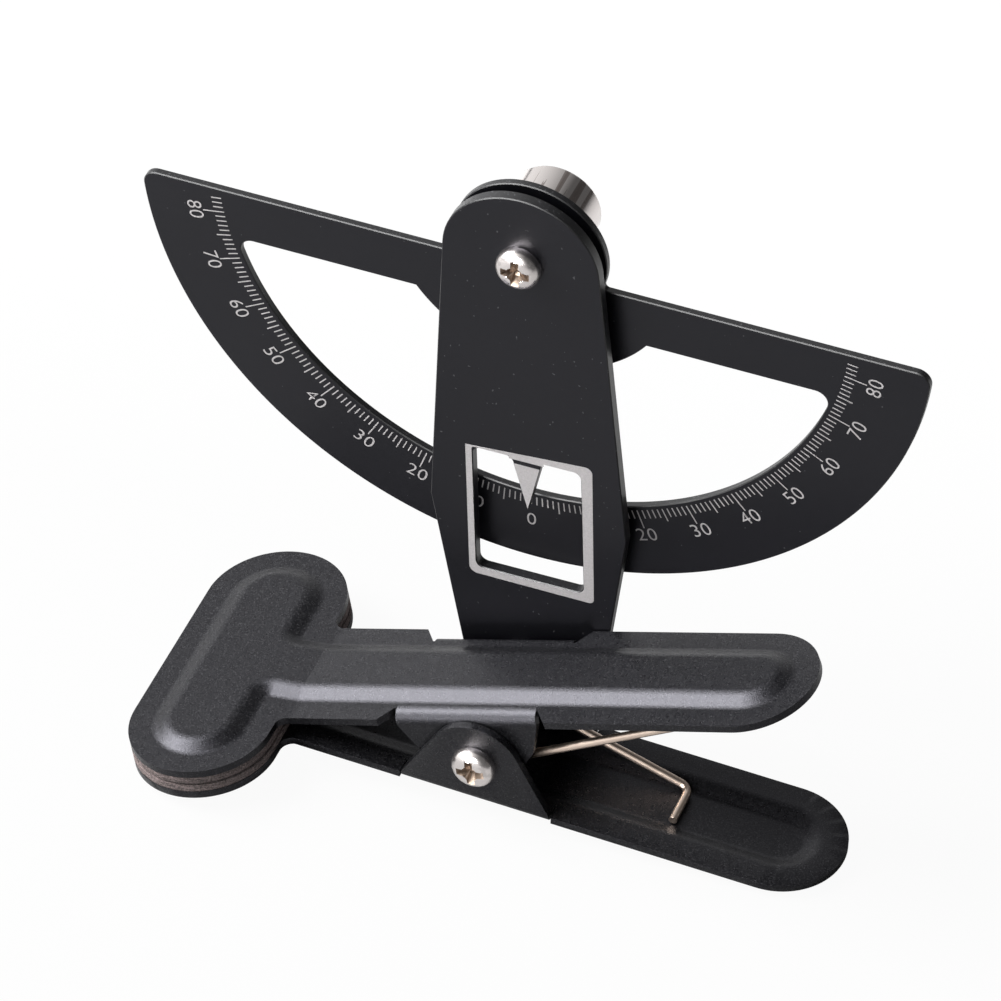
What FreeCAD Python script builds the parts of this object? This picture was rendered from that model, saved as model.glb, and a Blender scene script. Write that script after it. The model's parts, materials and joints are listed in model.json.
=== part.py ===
import FreeCAD, Part
import math
import os
import re

import Sketcher

# Control surface throw gauge, in millimetres.
# A spring clamp with two T-shaped pressed jaws grips the trailing edge of a control surface.
# An upright plate with a window and a pointer stands on the clamp, and a weighted dial swings
# behind it on two small ball bearings, so that its zero always hangs straight down.
# The frame has +Z up and its origin on the ground, below the dial's pivot, in the middle of the clamp.
# +X runs from the jaws to the handles and +Y from the clamp to the dial.

# Driving sizes: name, value, what it is.
DRIVING = [
    ("dial_radius", 50.0, "outer radius of the dial"),
    ("dial_sheet", 1.0, "thickness of the dial"),
    ("opening_radius", 39.3, "radius of the round side of the dial's opening"),
    ("beam_drop", 3.5, "top edge of the dial's beam, below the pivot"),
    ("opening_drop", 10.5, "straight side of the opening, below the pivot"),
    ("dial_hub_radius", 18.0, "round lower side of the dial around its hub"),
    ("lug_radius", 9.7, "round lug of the dial above its beam"),
    ("lug_blend", 0.5, "fillet between lug and beam"),
    ("dial_corner", 1.8, "rounded ends of the dial's beam"),
    ("opening_corner", 1.6, "rounded corners of the opening"),
    ("edge_break", 0.12, "chamfer on the edges of dial and upright"),
    ("upright_sheet", 1.5, "thickness of the upright"),
    ("upright_gap", 1.5, "gap between upright and dial"),
    ("upright_lean", 1.05, "turn of the upright about the dial's pivot, in degrees"),
    ("upright_head_radius", 9.9, "round top of the upright"),
    ("shoulder_half", 12.7, "half the width of the upright at its shoulders"),
    ("shoulder_drop", 40.6, "shoulders, below the dial's pivot"),
    ("foot_half", 8.1, "half the width of the upright at its foot"),
    ("foot_reach", 5.3, "foot of the upright, below the clamp's pivot"),
    ("foot_corner", 2.0, "rounded corners of the foot"),
    ("foot_shift", 0.6, "clamp's pivot, beside the dial's pivot"),
    ("pivot_rise", 66.7, "dial's pivot, above the clamp's pivot"),
    ("window_half", 7.0, "half the width of the window"),
    ("window_drop", 31.2, "top of the window, below the dial's pivot"),
    ("window_height", 19.8, "height of the window"),
    ("window_corner", 1.1, "rounded corners of the window"),
    ("pointer_half", 1.95, "half the width of the pointer at its root"),
    ("pointer_length", 8.1, "length of the pointer"),
    ("pointer_blend", 1.1, "fillet at the left of the pointer's root"),
    ("jaw_sheet", 1.0, "thickness of both pressed jaws"),
    ("head_half", 11.35, "middle of a jaw's head to the centre of its round end"),
    ("head_radius", 9.2, "half the width of a jaw's head"),
    ("neck_blend", 1.5, "fillet between head and arm"),
    ("arm_half", 8.4, "half the width of an arm"),
    ("arm_length", 60.6, "crease to the centre of the arm's round end"),
    ("crease_reach", 24.6, "clamp's pivot to the crease"),
    ("bend", 10.6, "bend of a jaw at its crease, in degrees"),
    ("rib_inset", 3.3, "flat border around the pressed rib"),
    ("rib_slope", 1.9, "width of the rib's sloping sides"),
    ("rib_rise", 1.0, "height of the rib"),
    ("rib_blend", 1.6, "fillet of the rib at the neck"),
    ("pad_sheet", 1.05, "thickness of a pad"),
    ("pad_gap", 0.26, "gap between the two pads at rest"),
    ("ear_half", 9.7, "half the length of an ear at its bend"),
    ("ear_waist", 7.7, "half the length of an inner ear where its sides turn in"),
    ("ear_knee", 0.6, "the same place, above the pivot"),
    ("outer_ear_face", 8.6, "outer face of the lower jaw's ears, from the middle"),
    ("ear_running", 0.2, "gap between an inner ear and an outer ear"),
    ("outer_ear_radius", 5.9, "round end of the lower jaw's ears"),
    ("inner_ear_radius", 5.0, "round end of the upper jaw's ears"),
    ("ear_bend", 1.3, "outer radius of the bend at an ear"),
    ("relief_slit", 0.25, "width of the slit at the end of an outer ear"),
    ("relief_half", 11.6, "half the length of an inner ear's relief at the edge"),
    ("relief_root", 9.95, "half the length of an inner ear's relief at its root"),
    ("relief_depth", 6.2, "root of the reliefs, from the middle"),
    ("ear_root", 0.5, "width of an ear's root that runs on into the arm"),
    ("thread", 3.0, "diameter of both screws"),
    ("screw_fit", 0.05, "radial clearance of a screw in a hole"),
    ("screw_head", 5.6, "diameter of a screw's head"),
    ("screw_head_height", 2.0, "height of a screw's head"),
    ("screw_tip", 0.4, "chamfer at the end of a screw"),
    ("cross_width", 0.75, "width of a slot of the cross recess"),
    ("cross_length", 3.1, "length of a slot of the cross recess"),
    ("cross_depth", 1.2, "depth of the cross recess"),
    ("clamp_screw_length", 25.0, "length of the clamp's screw under its head"),
    ("dial_screw_length", 12.0, "length of the dial's screw under its head"),
    ("nut_flats", 5.5, "width of both nuts across their flats"),
    ("lock_nut_height", 3.0, "height of the hexagon of the lock nut"),
    ("lock_collar_height", 1.0, "height of the lock nut's round collar"),
    ("collar_step", 0.1, "collar of the lock nut, inside its flats"),
    ("plain_nut_height", 2.3, "height of the dial's nut"),
    ("lock_ring_radius", 2.1, "outer radius of the nylon ring in the lock nut"),
    ("washer", 0.5, "thickness of the washers"),
    ("washer_radius", 3.4, "radius of the clamp's washer"),
    ("small_washer_radius", 2.35, "radius of the washer behind the dial's bearings"),
    ("bush_radius", 2.2, "outer radius of the bush in the spring"),
    ("end_play", 0.05, "play of the bush between the ears"),
    ("wire", 1.1, "diameter of the spring's wire"),
    ("coil_radius", 3.0, "mean radius of the spring's coil"),
    ("coil_turns", 5.0, "full turns of the spring's coil"),
    ("coil_front", 4.6, "front end of the coil, from the middle"),
    ("coil_play", 0.03, "gap between turns of the coil"),
    ("upper_foot_reach", 30.0, "foot of the spring's upper leg, along the arm from the pivot"),
    ("lower_foot_reach", 23.7, "foot of the spring's lower leg, along the arm from the pivot"),
    ("foot_play", 0.05, "gap between the spring's upper foot and its arm"),
    ("trough_play", 0.18, "gap between the spring's lower foot and the floor of the rib"),
    ("spring_foot", 5.9, "length of the spring's bent feet"),
    ("spring_bend", 1.2, "radius of the bends in the spring's wire"),
    ("rivet_radius", 1.0, "radius of a rivet's shank"),
    ("rivet_side", 5.2, "rivets, beside the clamp's pivot"),
    ("rivet_drop", 2.6, "rivets, below the clamp's pivot"),
    ("rivet_head", 1.7, "radius of a rivet's head"),
    ("rivet_head_height", 0.7, "height of a rivet's head"),
    ("rivet_sink", 0.4, "depth of the countersink at a rivet's other end"),
    ("barrel_radius", 5.6, "outer radius of the dial's bearing barrel"),
    ("barrel_length", 8.0, "length of the barrel behind the dial"),
    ("barrel_edge", 0.4, "chamfer at the barrel's rear edge"),
    ("spigot_radius", 4.3, "spigot of the barrel in the dial"),
    ("bearing_radius", 3.5, "outer radius of a ball bearing"),
    ("bearing_width", 2.0, "width of a ball bearing"),
    ("bearing_inset", 0.2, "front bearing, behind the dial's front"),
    ("bearing_spread", 1.6, "gap between the two bearings"),
    ("barrel_step", 0.45, "height of the shoulder between the bearings"),
    ("race_radius", 2.5, "pitch radius of the balls"),
    ("race_step", 0.45, "pitch radius to the land of either ring"),
    ("ball_radius", 0.6, "radius of a ball"),
    ("ball_play", 0.03, "play of a ball in its grooves"),
    ("cage_step", 0.18, "half the thickness of a cage"),
    ("cage_width", 1.7, "width of a cage"),
    ("cage_play", 0.05, "play of a ball in its cage"),
    ("seat_play", 0.02, "play of a piece pressed into a seat"),
    ("spare", 2.0, "length that a later cut takes off again"),
    ("spacer_radius", 2.05, "outer radius of spacers and inner rings"),
]
BALLS = 7
NAMES = {name for name, number, meaning in DRIVING}

V = FreeCAD.Vector
ALONG_X = V(1, 0, 0)
ALONG_Y = V(0, 1, 0)
ALONG_Z = V(0, 0, 1)
# Turns a piece drawn along +Z so that it lies along +Y.
TO_REAR = FreeCAD.Rotation(ALONG_X, -90)
FAR = 200.0

DOC = FreeCAD.newDocument("throw_gauge")
SHEET = DOC.addObject("Spreadsheet::Sheet", "sizes")


def fill_sheet():
    """Write the driving sizes into the sheet, one row each."""
    for row, (name, number, meaning) in enumerate(DRIVING, start=1):
        SHEET.set(f"A{row}", name)
        SHEET.set(f"B{row}", str(number))
        SHEET.setAlias(f"B{row}", name)
        SHEET.set(f"C{row}", meaning)
    DOC.recompute()


def size(expression):
    """Number that an expression on the sheet's names stands for."""
    return float(SHEET.evalExpression(expression))


def linked(expression):
    """The same expression, as another object of the document writes it."""
    return re.sub(r"[a-z_]{3,}", lambda word: "sizes." + word[0] if word[0] in NAMES else word[0], expression)


def bind(item, **properties):
    """Tie properties of an object to expressions on the sheet."""
    for name, expression in properties.items():
        item.setExpression(name, linked(expression))
    return item


def place(item, point, rotation=FreeCAD.Rotation()):
    item.Placement = FreeCAD.Placement(point, rotation)
    return item


# Bodies and sketches.

def new_body(label):
    body = DOC.addObject("PartDesign::Body", label)
    body.Label = label
    return body


def new_sketch(body, name, plane, offset=None):
    """Sketch on one of the body's origin planes, moved along its normal where an offset is given."""
    sketch = body.newObject("Sketcher::SketchObject", body.Label + "_" + name)
    support = next(item for item in body.Origin.OriginFeatures if item.Role == plane)
    sketch.AttachmentSupport = [(support, "")]
    sketch.MapMode = "FlatFace"
    if offset:
        sketch.setExpression(".AttachmentOffset.Base.z", linked(offset))
    return sketch


def pin_point(sketch, edge, end, x, y):
    """Hold an edge's end at the point that two expressions give."""
    for kind, axis, expression in (("DistanceX", -2, x), ("DistanceY", -1, y)):
        if expression == "0":
            sketch.addConstraint(Sketcher.Constraint("PointOnObject", edge, end, axis))
            continue
        index = sketch.addConstraint(Sketcher.Constraint(kind, -1, 1, edge, end, size(expression)))
        sketch.setExpression(f"Constraints[{index}]", linked(expression))


def hold_radius(sketch, edge, expression):
    index = sketch.addConstraint(Sketcher.Constraint("Radius", edge, size(expression)))
    sketch.setExpression(f"Constraints[{index}]", linked(expression))


def draw_polygon(sketch, corners):
    """Closed outline of straight lines, each corner a pair of expressions."""
    points = [V(size(x), size(y), 0) for x, y in corners]
    first = sketch.GeometryCount
    for index, point in enumerate(points):
        sketch.addGeometry(Part.LineSegment(point, points[(index + 1) % len(points)]), False)
    for index, (x, y) in enumerate(corners):
        following = first + (index + 1) % len(points)
        sketch.addConstraint(Sketcher.Constraint("Coincident", first + index, 2, following, 1))
        pin_point(sketch, first + index, 1, x, y)


def draw_circle(sketch, x, y, radius):
    centre = V(size(x), size(y), 0)
    edge = sketch.addGeometry(Part.Circle(centre, ALONG_Z, size(radius)), False)
    if x == "0" and y == "0":
        sketch.addConstraint(Sketcher.Constraint("Coincident", edge, 3, -1, 1))
    else:
        pin_point(sketch, edge, 3, x, y)
    hold_radius(sketch, edge, radius)


def draw_segment(sketch, radius, drop):
    """Part of a disc about the origin that lies below a level line."""
    reach = size(radius)
    start = math.asin(-size(drop) / reach)
    arc = Part.ArcOfCircle(Part.Circle(V(), ALONG_Z, reach), math.pi - start, 2 * math.pi + start)
    chord = Part.LineSegment(arc.EndPoint, arc.StartPoint)
    curve = sketch.addGeometry(arc, False)
    line = sketch.addGeometry(chord, False)
    sketch.addConstraint(Sketcher.Constraint("Coincident", curve, 3, -1, 1))
    sketch.addConstraint(Sketcher.Constraint("Coincident", curve, 2, line, 1))
    sketch.addConstraint(Sketcher.Constraint("Coincident", line, 2, curve, 1))
    sketch.addConstraint(Sketcher.Constraint("Horizontal", line))
    hold_radius(sketch, curve, radius)
    index = sketch.addConstraint(Sketcher.Constraint("DistanceY", line, 1, -1, 1, size(drop)))
    sketch.setExpression(f"Constraints[{index}]", linked(drop))


def draw_capsule(sketch, half_length, radius):
    """Straight-sided outline with round ends, along the sketch's second axis."""
    reach, side = size(half_length), size(radius)
    top = Part.ArcOfCircle(Part.Circle(V(0, reach, 0), ALONG_Z, side), 0, math.pi)
    low = Part.ArcOfCircle(Part.Circle(V(0, -reach, 0), ALONG_Z, side), math.pi, 2 * math.pi)
    left = Part.LineSegment(V(-side, reach, 0), V(-side, -reach, 0))
    right = Part.LineSegment(V(side, -reach, 0), V(side, reach, 0))
    edges = [sketch.addGeometry(item, False) for item in (top, left, low, right)]
    for edge, following in zip(edges, edges[1:] + edges[:1]):
        sketch.addConstraint(Sketcher.Constraint("Tangent", edge, 2, following, 1))
    pin_point(sketch, edges[0], 3, "0", half_length)
    pin_point(sketch, edges[2], 3, "0", "-" + half_length)
    hold_radius(sketch, edges[0], radius)
    sketch.addConstraint(Sketcher.Constraint("Vertical", edges[1]))


def pad(body, sketch, length, backward=False):
    """Pad a sketch by an expression, along its normal or against it."""
    feature = body.newObject("PartDesign::Pad", sketch.Name + "_pad")
    feature.Profile = sketch
    feature.Reversed = backward
    bind(feature, Length=length)
    DOC.recompute()
    return feature


def cut_through(body, sketch):
    """Pocket a sketch through the whole body, both ways."""
    feature = body.newObject("PartDesign::Pocket", sketch.Name + "_cut")
    feature.Profile = sketch
    feature.Type = "ThroughAll"
    feature.Midplane = True
    before = body.Shape.Volume
    DOC.recompute()
    if body.Shape.Volume >= before:
        raise ValueError(sketch.Name + " cuts nothing")
    return feature


def dress(body, kind, chosen, **properties):
    """Fillet or chamfer the edges of the body's tip that a test picks."""
    base = body.Tip
    names = [f"Edge{index + 1}" for index, edge in enumerate(base.Shape.Edges) if chosen(edge)]
    feature = body.newObject("PartDesign::" + kind, body.Label + "_" + kind.lower() + "_" + base.Name)
    feature.Base = (base, names)
    bind(feature, **properties)
    DOC.recompute()
    return feature


def crosswise(edge):
    """True for a straight edge that runs through a plate's thickness, along Y."""
    if edge.Curve.TypeId != "Part::GeomLine":
        return False
    return abs(edge.tangentAt(edge.FirstParameter).dot(ALONG_Y)) > 0.99


def on_faces(levels):
    """Test for edges that lie wholly in one of the planes at the given levels of Y."""
    def chosen(edge):
        box = edge.BoundBox
        return any(max(abs(box.YMin - level), abs(box.YMax - level)) < 0.001 for level in levels)
    return chosen


def turned(label, corners):
    """Body turned about Z from a closed outline of radii and heights."""
    body = new_body(label)
    sketch = new_sketch(body, "profile", "XZ_Plane")
    draw_polygon(sketch, corners)
    feature = body.newObject("PartDesign::Revolution", label + "_turn")
    feature.Profile = sketch
    feature.ReferenceAxis = (sketch, ["V_Axis"])
    feature.Angle = 360
    DOC.recompute()
    return body


# Plain round pieces.

def cylinder(name, radius, height, z=None):
    item = bind(DOC.addObject("Part::Cylinder", name), Radius=radius, Height=height)
    if z:
        item.setExpression(".Placement.Base.z", linked(z))
    return item


def cut_pieces(label, base, *tools):
    """Chain of cuts whose last link carries the label."""
    for index, tool in enumerate(tools, start=1):
        link = DOC.addObject("Part::Cut", f"{label}_cut_{index}")
        link.Base = base
        link.Tool = tool
        base = link
    base.Label = label
    return base


def ring(label, radius, bore, height):
    """Flat ring or tube along Z."""
    outside = cylinder(label + "_outside", radius, height)
    inside = cylinder(label + "_bore", bore, height + " + 2 * spare", "-spare")
    return cut_pieces(label, outside, inside)


# Places worked out from the driving sizes.

class Layout:
    """Where the main pieces lie, from the sheet's sizes."""

    def __init__(self):
        self.inner = size("pad_gap / 2 + pad_sheet")
        self.outer = self.inner + size("jaw_sheet")
        self.bend = math.radians(size("bend"))
        self.head_x = -size("crease_reach + neck_blend + head_radius")
        # An arm's inner face and crease, in the arm's own frame about the clamp's pivot.
        reach = size("crease_reach")
        self.arm_inner = reach * math.sin(self.bend) + self.inner * math.cos(self.bend)
        self.arm_start = -reach * math.cos(self.bend) + self.inner * math.sin(self.bend)
        self.arm_end = self.arm_start + size("arm_length")
        self.pitch, self.pivot_height = self.stand()
        self.rivets = [self.on_lower_ear(side * size("rivet_side"), -size("rivet_drop")) for side in (-1, 1)]
        self.clamp_point = V(size("foot_shift"), 0, self.pivot_height)
        self.clamp_turn = FreeCAD.Rotation(ALONG_Y, -math.degrees(self.pitch))
        self.dial_height = self.pivot_height + size("pivot_rise")
        self.upright_front = size("outer_ear_face")
        self.upright_back = self.upright_front + size("upright_sheet")
        self.dial_front = self.upright_back + size("upright_gap")
        self.dial_back = self.dial_front + size("dial_sheet")

    def stand(self):
        """Pitch of the clamp and height of its pivot when the lower jaw's rib rests on the ground."""
        depth = size("rib_rise")
        head = (self.head_x - size("head_radius - rib_inset - rib_slope"), -self.outer - depth)
        along = self.arm_end + size("arm_half - rib_inset - rib_slope")
        below = self.arm_inner + size("jaw_sheet") + depth
        arm = (along * math.cos(self.bend) - below * math.sin(self.bend),
               -along * math.sin(self.bend) - below * math.cos(self.bend))
        pitch = math.atan2(head[1] - arm[1], arm[0] - head[0])
        return pitch, -head[0] * math.sin(pitch) - head[1] * math.cos(pitch)

    def on_lower_ear(self, along, up):
        """Point on the lower jaw's ears, given along its arm, in the clamp's frame."""
        return FreeCAD.Rotation(ALONG_Y, math.degrees(self.bend)).multVec(V(along, 0, up))

    def in_upright(self, point):
        """Point of the clamp's frame, as the upright's own frame about the dial's pivot has it."""
        spot = self.clamp_turn.multVec(point) + V(size("foot_shift"), 0, -size("pivot_rise"))
        return FreeCAD.Rotation(ALONG_Y, size("upright_lean")).multVec(spot)

    def on_clamp(self, item, point=V(), turn=FreeCAD.Rotation()):
        """Place a piece whose position is given in the clamp's frame."""
        start = self.clamp_point + self.clamp_turn.multVec(point)
        return place(item, start, self.clamp_turn.multiply(turn))

    def on_dial_axis(self, item, y, turn=FreeCAD.Rotation()):
        return place(item, V(0, y, self.dial_height), turn)


# The two pressed jaws.

def prism(wire, low, high):
    """Solid between two levels over a flat outline at level zero."""
    face = Part.Face(wire)
    face.translate(V(0, 0, low))
    return face.extrude(V(0, 0, high - low))


def sloped(lower, upper, low, height):
    """Solid with straight sloping sides between a wide outline and a narrow one."""
    bottom, top = lower.copy(), upper.copy()
    bottom.translate(V(0, 0, low))
    top.translate(V(0, 0, low + height))
    return Part.makeLoft([bottom, top], True, True)


def head_outline(length, radius, neck, blend, reach):
    """T-shaped outline about the head's middle, with its neck running to +X as far as reach."""
    corner = radius + blend
    side = neck + blend
    turn = blend * (1 - math.sqrt(0.5))
    round_end = radius * math.sqrt(0.5)
    edges = [
        Part.LineSegment(V(reach, -neck, 0), V(reach, neck, 0)),
        Part.LineSegment(V(reach, neck, 0), V(corner, neck, 0)),
        Part.Arc(V(corner, neck, 0), V(radius + turn, neck + turn, 0), V(radius, side, 0)),
        Part.LineSegment(V(radius, side, 0), V(radius, length, 0)),
        Part.Arc(V(radius, length, 0), V(round_end, length + round_end, 0), V(0, length + radius, 0)),
        Part.Arc(V(0, length + radius, 0), V(-round_end, length + round_end, 0), V(-radius, length, 0)),
        Part.LineSegment(V(-radius, length, 0), V(-radius, -length, 0)),
        Part.Arc(V(-radius, -length, 0), V(-round_end, -length - round_end, 0), V(0, -length - radius, 0)),
        Part.Arc(V(0, -length - radius, 0), V(round_end, -length - round_end, 0), V(radius, -length, 0)),
        Part.LineSegment(V(radius, -length, 0), V(radius, -side, 0)),
        Part.Arc(V(radius, -side, 0), V(radius + turn, -neck - turn, 0), V(corner, -neck, 0)),
        Part.LineSegment(V(corner, -neck, 0), V(reach, -neck, 0)),
    ]
    return Part.Wire([edge.toShape() for edge in edges])


def arm_outline(half, start, end):
    """Straight arm from a square start to a round end."""
    edges = [
        Part.LineSegment(V(end, half, 0), V(start, half, 0)),
        Part.LineSegment(V(start, half, 0), V(start, -half, 0)),
        Part.LineSegment(V(start, -half, 0), V(end, -half, 0)),
        Part.Arc(V(end, -half, 0), V(end + half, 0, 0), V(end, half, 0)),
    ]
    return Part.Wire([edge.toShape() for edge in edges])


def pressed(flange, rib_base, rib_top, inner):
    """Flat sheet with a hollow rib pressed out of it, its inner face at the given level."""
    sheet, rise = size("jaw_sheet"), size("rib_rise")
    plate = prism(flange, inner, inner + sheet)
    bulge = sloped(rib_base, rib_top, inner + sheet, rise)
    hollow = sloped(rib_base, rib_top, inner, rise)
    return plate.fuse(bulge).cut(hollow)


def head_sheet(layout):
    """Head of the upper jaw with a stub of neck, in the clamp's frame."""
    length, radius, neck = size("head_half"), size("head_radius"), size("arm_half")
    inset, slope, blend = size("rib_inset"), size("rib_slope"), size("rib_blend")
    reach = size("neck_blend + head_radius + spare")
    flange = head_outline(length, radius, neck, size("neck_blend"), reach)
    base = head_outline(length, radius - inset, neck - inset, blend, reach)
    top = head_outline(length, radius - inset - slope, neck - inset - slope, blend + slope, reach)
    sheet = pressed(flange, base, top, layout.inner)
    sheet.translate(V(layout.head_x, 0, 0))
    return sheet


def arm_sheet(layout):
    """Arm of the upper jaw, in the arm's own frame about the clamp's pivot."""
    half, inset, slope = size("arm_half"), size("rib_inset"), size("rib_slope")
    start, end = layout.arm_start - size("spare"), layout.arm_end
    flange = arm_outline(half, start, end)
    base = arm_outline(half - inset, start, end)
    top = arm_outline(half - inset - slope, start, end)
    return pressed(flange, base, top, layout.arm_inner)


def relief(layout, side, root, half):
    """Notch that frees one ear's bend from the edge of the arm, from its root out to the edge."""
    depth, edge, beyond = size("relief_depth"), size("arm_half"), size("arm_half + spare")
    corners = [V(-root, depth, 0), V(root, depth, 0), V(half, edge, 0), V(half, beyond, 0),
               V(-half, beyond, 0), V(-half, edge, 0)]
    wire = Part.makePolygon([V(p.x, side * p.y, 0) for p in corners + corners[:1]])
    return prism(wire, layout.arm_inner - size("spare"), layout.arm_inner + size("jaw_sheet + spare"))


def ear_profile(radius, level, knee=None):
    """Outline of an ear seen from the side: round about the pivot, wide at its bend, or also at a knee."""
    half, rise = size("ear_half"), size("jaw_sheet + spare")
    corners = [V(half, 0, level + rise), V(half, 0, level)] + ([knee] if knee else [])
    last = corners[-1]
    touch = math.atan2(last.z, last.x) - math.acos(radius / last.Length)
    corners.append(V(radius * math.cos(touch), 0, radius * math.sin(touch)))
    others = [V(-corner.x, 0, corner.z) for corner in corners]
    edges = [Part.LineSegment(start, end) for start, end in zip(corners, corners[1:])]
    edges.append(Part.Arc(corners[-1], V(0, 0, -radius), others[-1]))
    edges += [Part.LineSegment(end, start) for start, end in reversed(list(zip(others, others[1:])))]
    edges.append(Part.LineSegment(others[0], corners[0]))
    return Part.Wire([edge.toShape() for edge in edges])


def ear(layout, side, face, radius, knee):
    """One ear bent down from the arm, with its outer face at the given distance from the middle."""
    sheet, bend, half = size("jaw_sheet"), size("ear_bend"), size("ear_half")
    top = layout.arm_inner + sheet
    root, foot = size("relief_depth - ear_root"), -radius - size("spare")
    inner = bend - sheet
    turn = bend * (1 - math.sqrt(0.5))
    inner_turn = inner * (1 - math.sqrt(0.5))
    within = face - sheet
    edges = [
        Part.LineSegment(V(0, root, top), V(0, face - bend, top)),
        Part.Arc(V(0, face - bend, top), V(0, face - turn, top - turn), V(0, face, top - bend)),
        Part.LineSegment(V(0, face, top - bend), V(0, face, foot)),
        Part.LineSegment(V(0, face, foot), V(0, within, foot)),
        Part.LineSegment(V(0, within, foot), V(0, within, top - bend)),
        Part.Arc(V(0, within, top - bend), V(0, within - inner_turn, top - sheet - inner_turn),
                 V(0, within - inner, top - sheet)),
        Part.LineSegment(V(0, within - inner, top - sheet), V(0, root, top - sheet)),
        Part.LineSegment(V(0, root, top - sheet), V(0, root, top)),
    ]
    strip = Part.Face(Part.Wire([edge.toShape() for edge in edges])).extrude(V(2 * half, 0, 0))
    strip.translate(V(-half, 0, 0))
    profile = Part.Face(ear_profile(radius, top - bend, knee))
    blank = profile.extrude(V(0, face + size("spare"), 0))
    bent = strip.common(blank)
    bore = Part.makeCylinder(size("thread / 2 + screw_fit"), FAR, V(0, -FAR / 2, 0), ALONG_Y)
    bent = bent.cut(bore)
    return bent if side > 0 else bent.mirror(V(), ALONG_Y)


def rivet_holes(layout):
    """Countersunk holes for the rivets, in the clamp's frame."""
    inside, radius = size("outer_ear_face - jaw_sheet"), size("rivet_radius + seat_play")
    sink = size("rivet_sink")
    holes = []
    for point in layout.rivets:
        start = V(point.x, inside, point.z)
        holes.append(Part.makeCylinder(radius, size("jaw_sheet + spare"), start, ALONG_Y))
        holes.append(Part.makeCone(radius + sink, radius, sink, start, ALONG_Y))
    return holes


def beyond_crease(layout):
    """Half space on the handles' side of the mitre through the crease."""
    block = Part.makeBox(FAR, FAR, FAR, V(0, -FAR / 2, -FAR / 2))
    block.rotate(V(), ALONG_Y, -math.degrees(layout.bend) / 2)
    block.translate(V(-size("crease_reach"), 0, layout.inner))
    return block


def upper_form(layout, face, radius, root, half, knee=None):
    """Whole pressed jaw above the middle plane: head, bent arm and two ears."""
    arm = arm_sheet(layout)
    for side in (1, -1):
        arm = arm.cut(relief(layout, side, root, half)).fuse(ear(layout, side, face, radius, knee))
    arm.rotate(V(), ALONG_Y, -math.degrees(layout.bend))
    mitre = beyond_crease(layout)
    whole = head_sheet(layout).cut(mitre).fuse(arm.common(mitre))
    return whole.removeSplitter()


def pressed_jaw(label, shape):
    item = DOC.addObject("Part::Feature", label)
    item.Shape = shape.Solids[0] if len(shape.Solids) == 1 else shape
    return item


def make_jaws(layout):
    inner_face = size("outer_ear_face - jaw_sheet - ear_running")
    upper = upper_form(layout, inner_face, size("inner_ear_radius"), size("relief_root"),
                       size("relief_half"), V(size("ear_waist"), 0, size("ear_knee")))
    slit = size("ear_half + relief_slit")
    lower = upper_form(layout, size("outer_ear_face"), size("outer_ear_radius"), slit, slit)
    lower = lower.mirror(V(), ALONG_Z).cut(rivet_holes(layout))
    return [layout.on_clamp(pressed_jaw("upper_jaw", upper)),
            layout.on_clamp(pressed_jaw("lower_jaw", lower))]


def make_pad(layout, label, side):
    """Thin friction pad glued to the inner face of a jaw's head."""
    body = new_body(label)
    sketch = new_sketch(body, "outline", "XY_Plane")
    draw_capsule(sketch, "head_half", "head_radius")
    pad(body, sketch, "pad_sheet")
    level = size("pad_gap / 2") if side > 0 else -size("pad_gap / 2 + pad_sheet")
    return layout.on_clamp(body, V(layout.head_x, 0, level))


# The spring on the clamp's pivot.

def rod(path, radius):
    """Round wire along a path of edges joined end to end."""
    wire = Part.Wire(path)
    start = path[0].valueAt(path[0].FirstParameter)
    direction = path[0].tangentAt(path[0].FirstParameter)
    section = Part.Wire([Part.makeCircle(radius, start, direction)])
    return wire.makePipeShell([section], True, True)


def leg_path(start, along, sideways, length):
    """Straight leg that covers a length square to the coil's axis, a round bend and a straight foot."""
    bend, foot = size("spring_bend"), size("spring_foot")
    corner = start + along * (length / math.sqrt(1 - along.y ** 2))
    across = (sideways - along * along.dot(sideways)).normalize()
    before, after = corner - along * bend, corner + across * bend
    middle = corner + (across - along) * bend * (1 - math.sqrt(0.5))
    return [Part.LineSegment(start, before).toShape(),
            Part.Arc(before, middle, after).toShape(),
            Part.LineSegment(after, corner + across * foot).toShape()]


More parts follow.
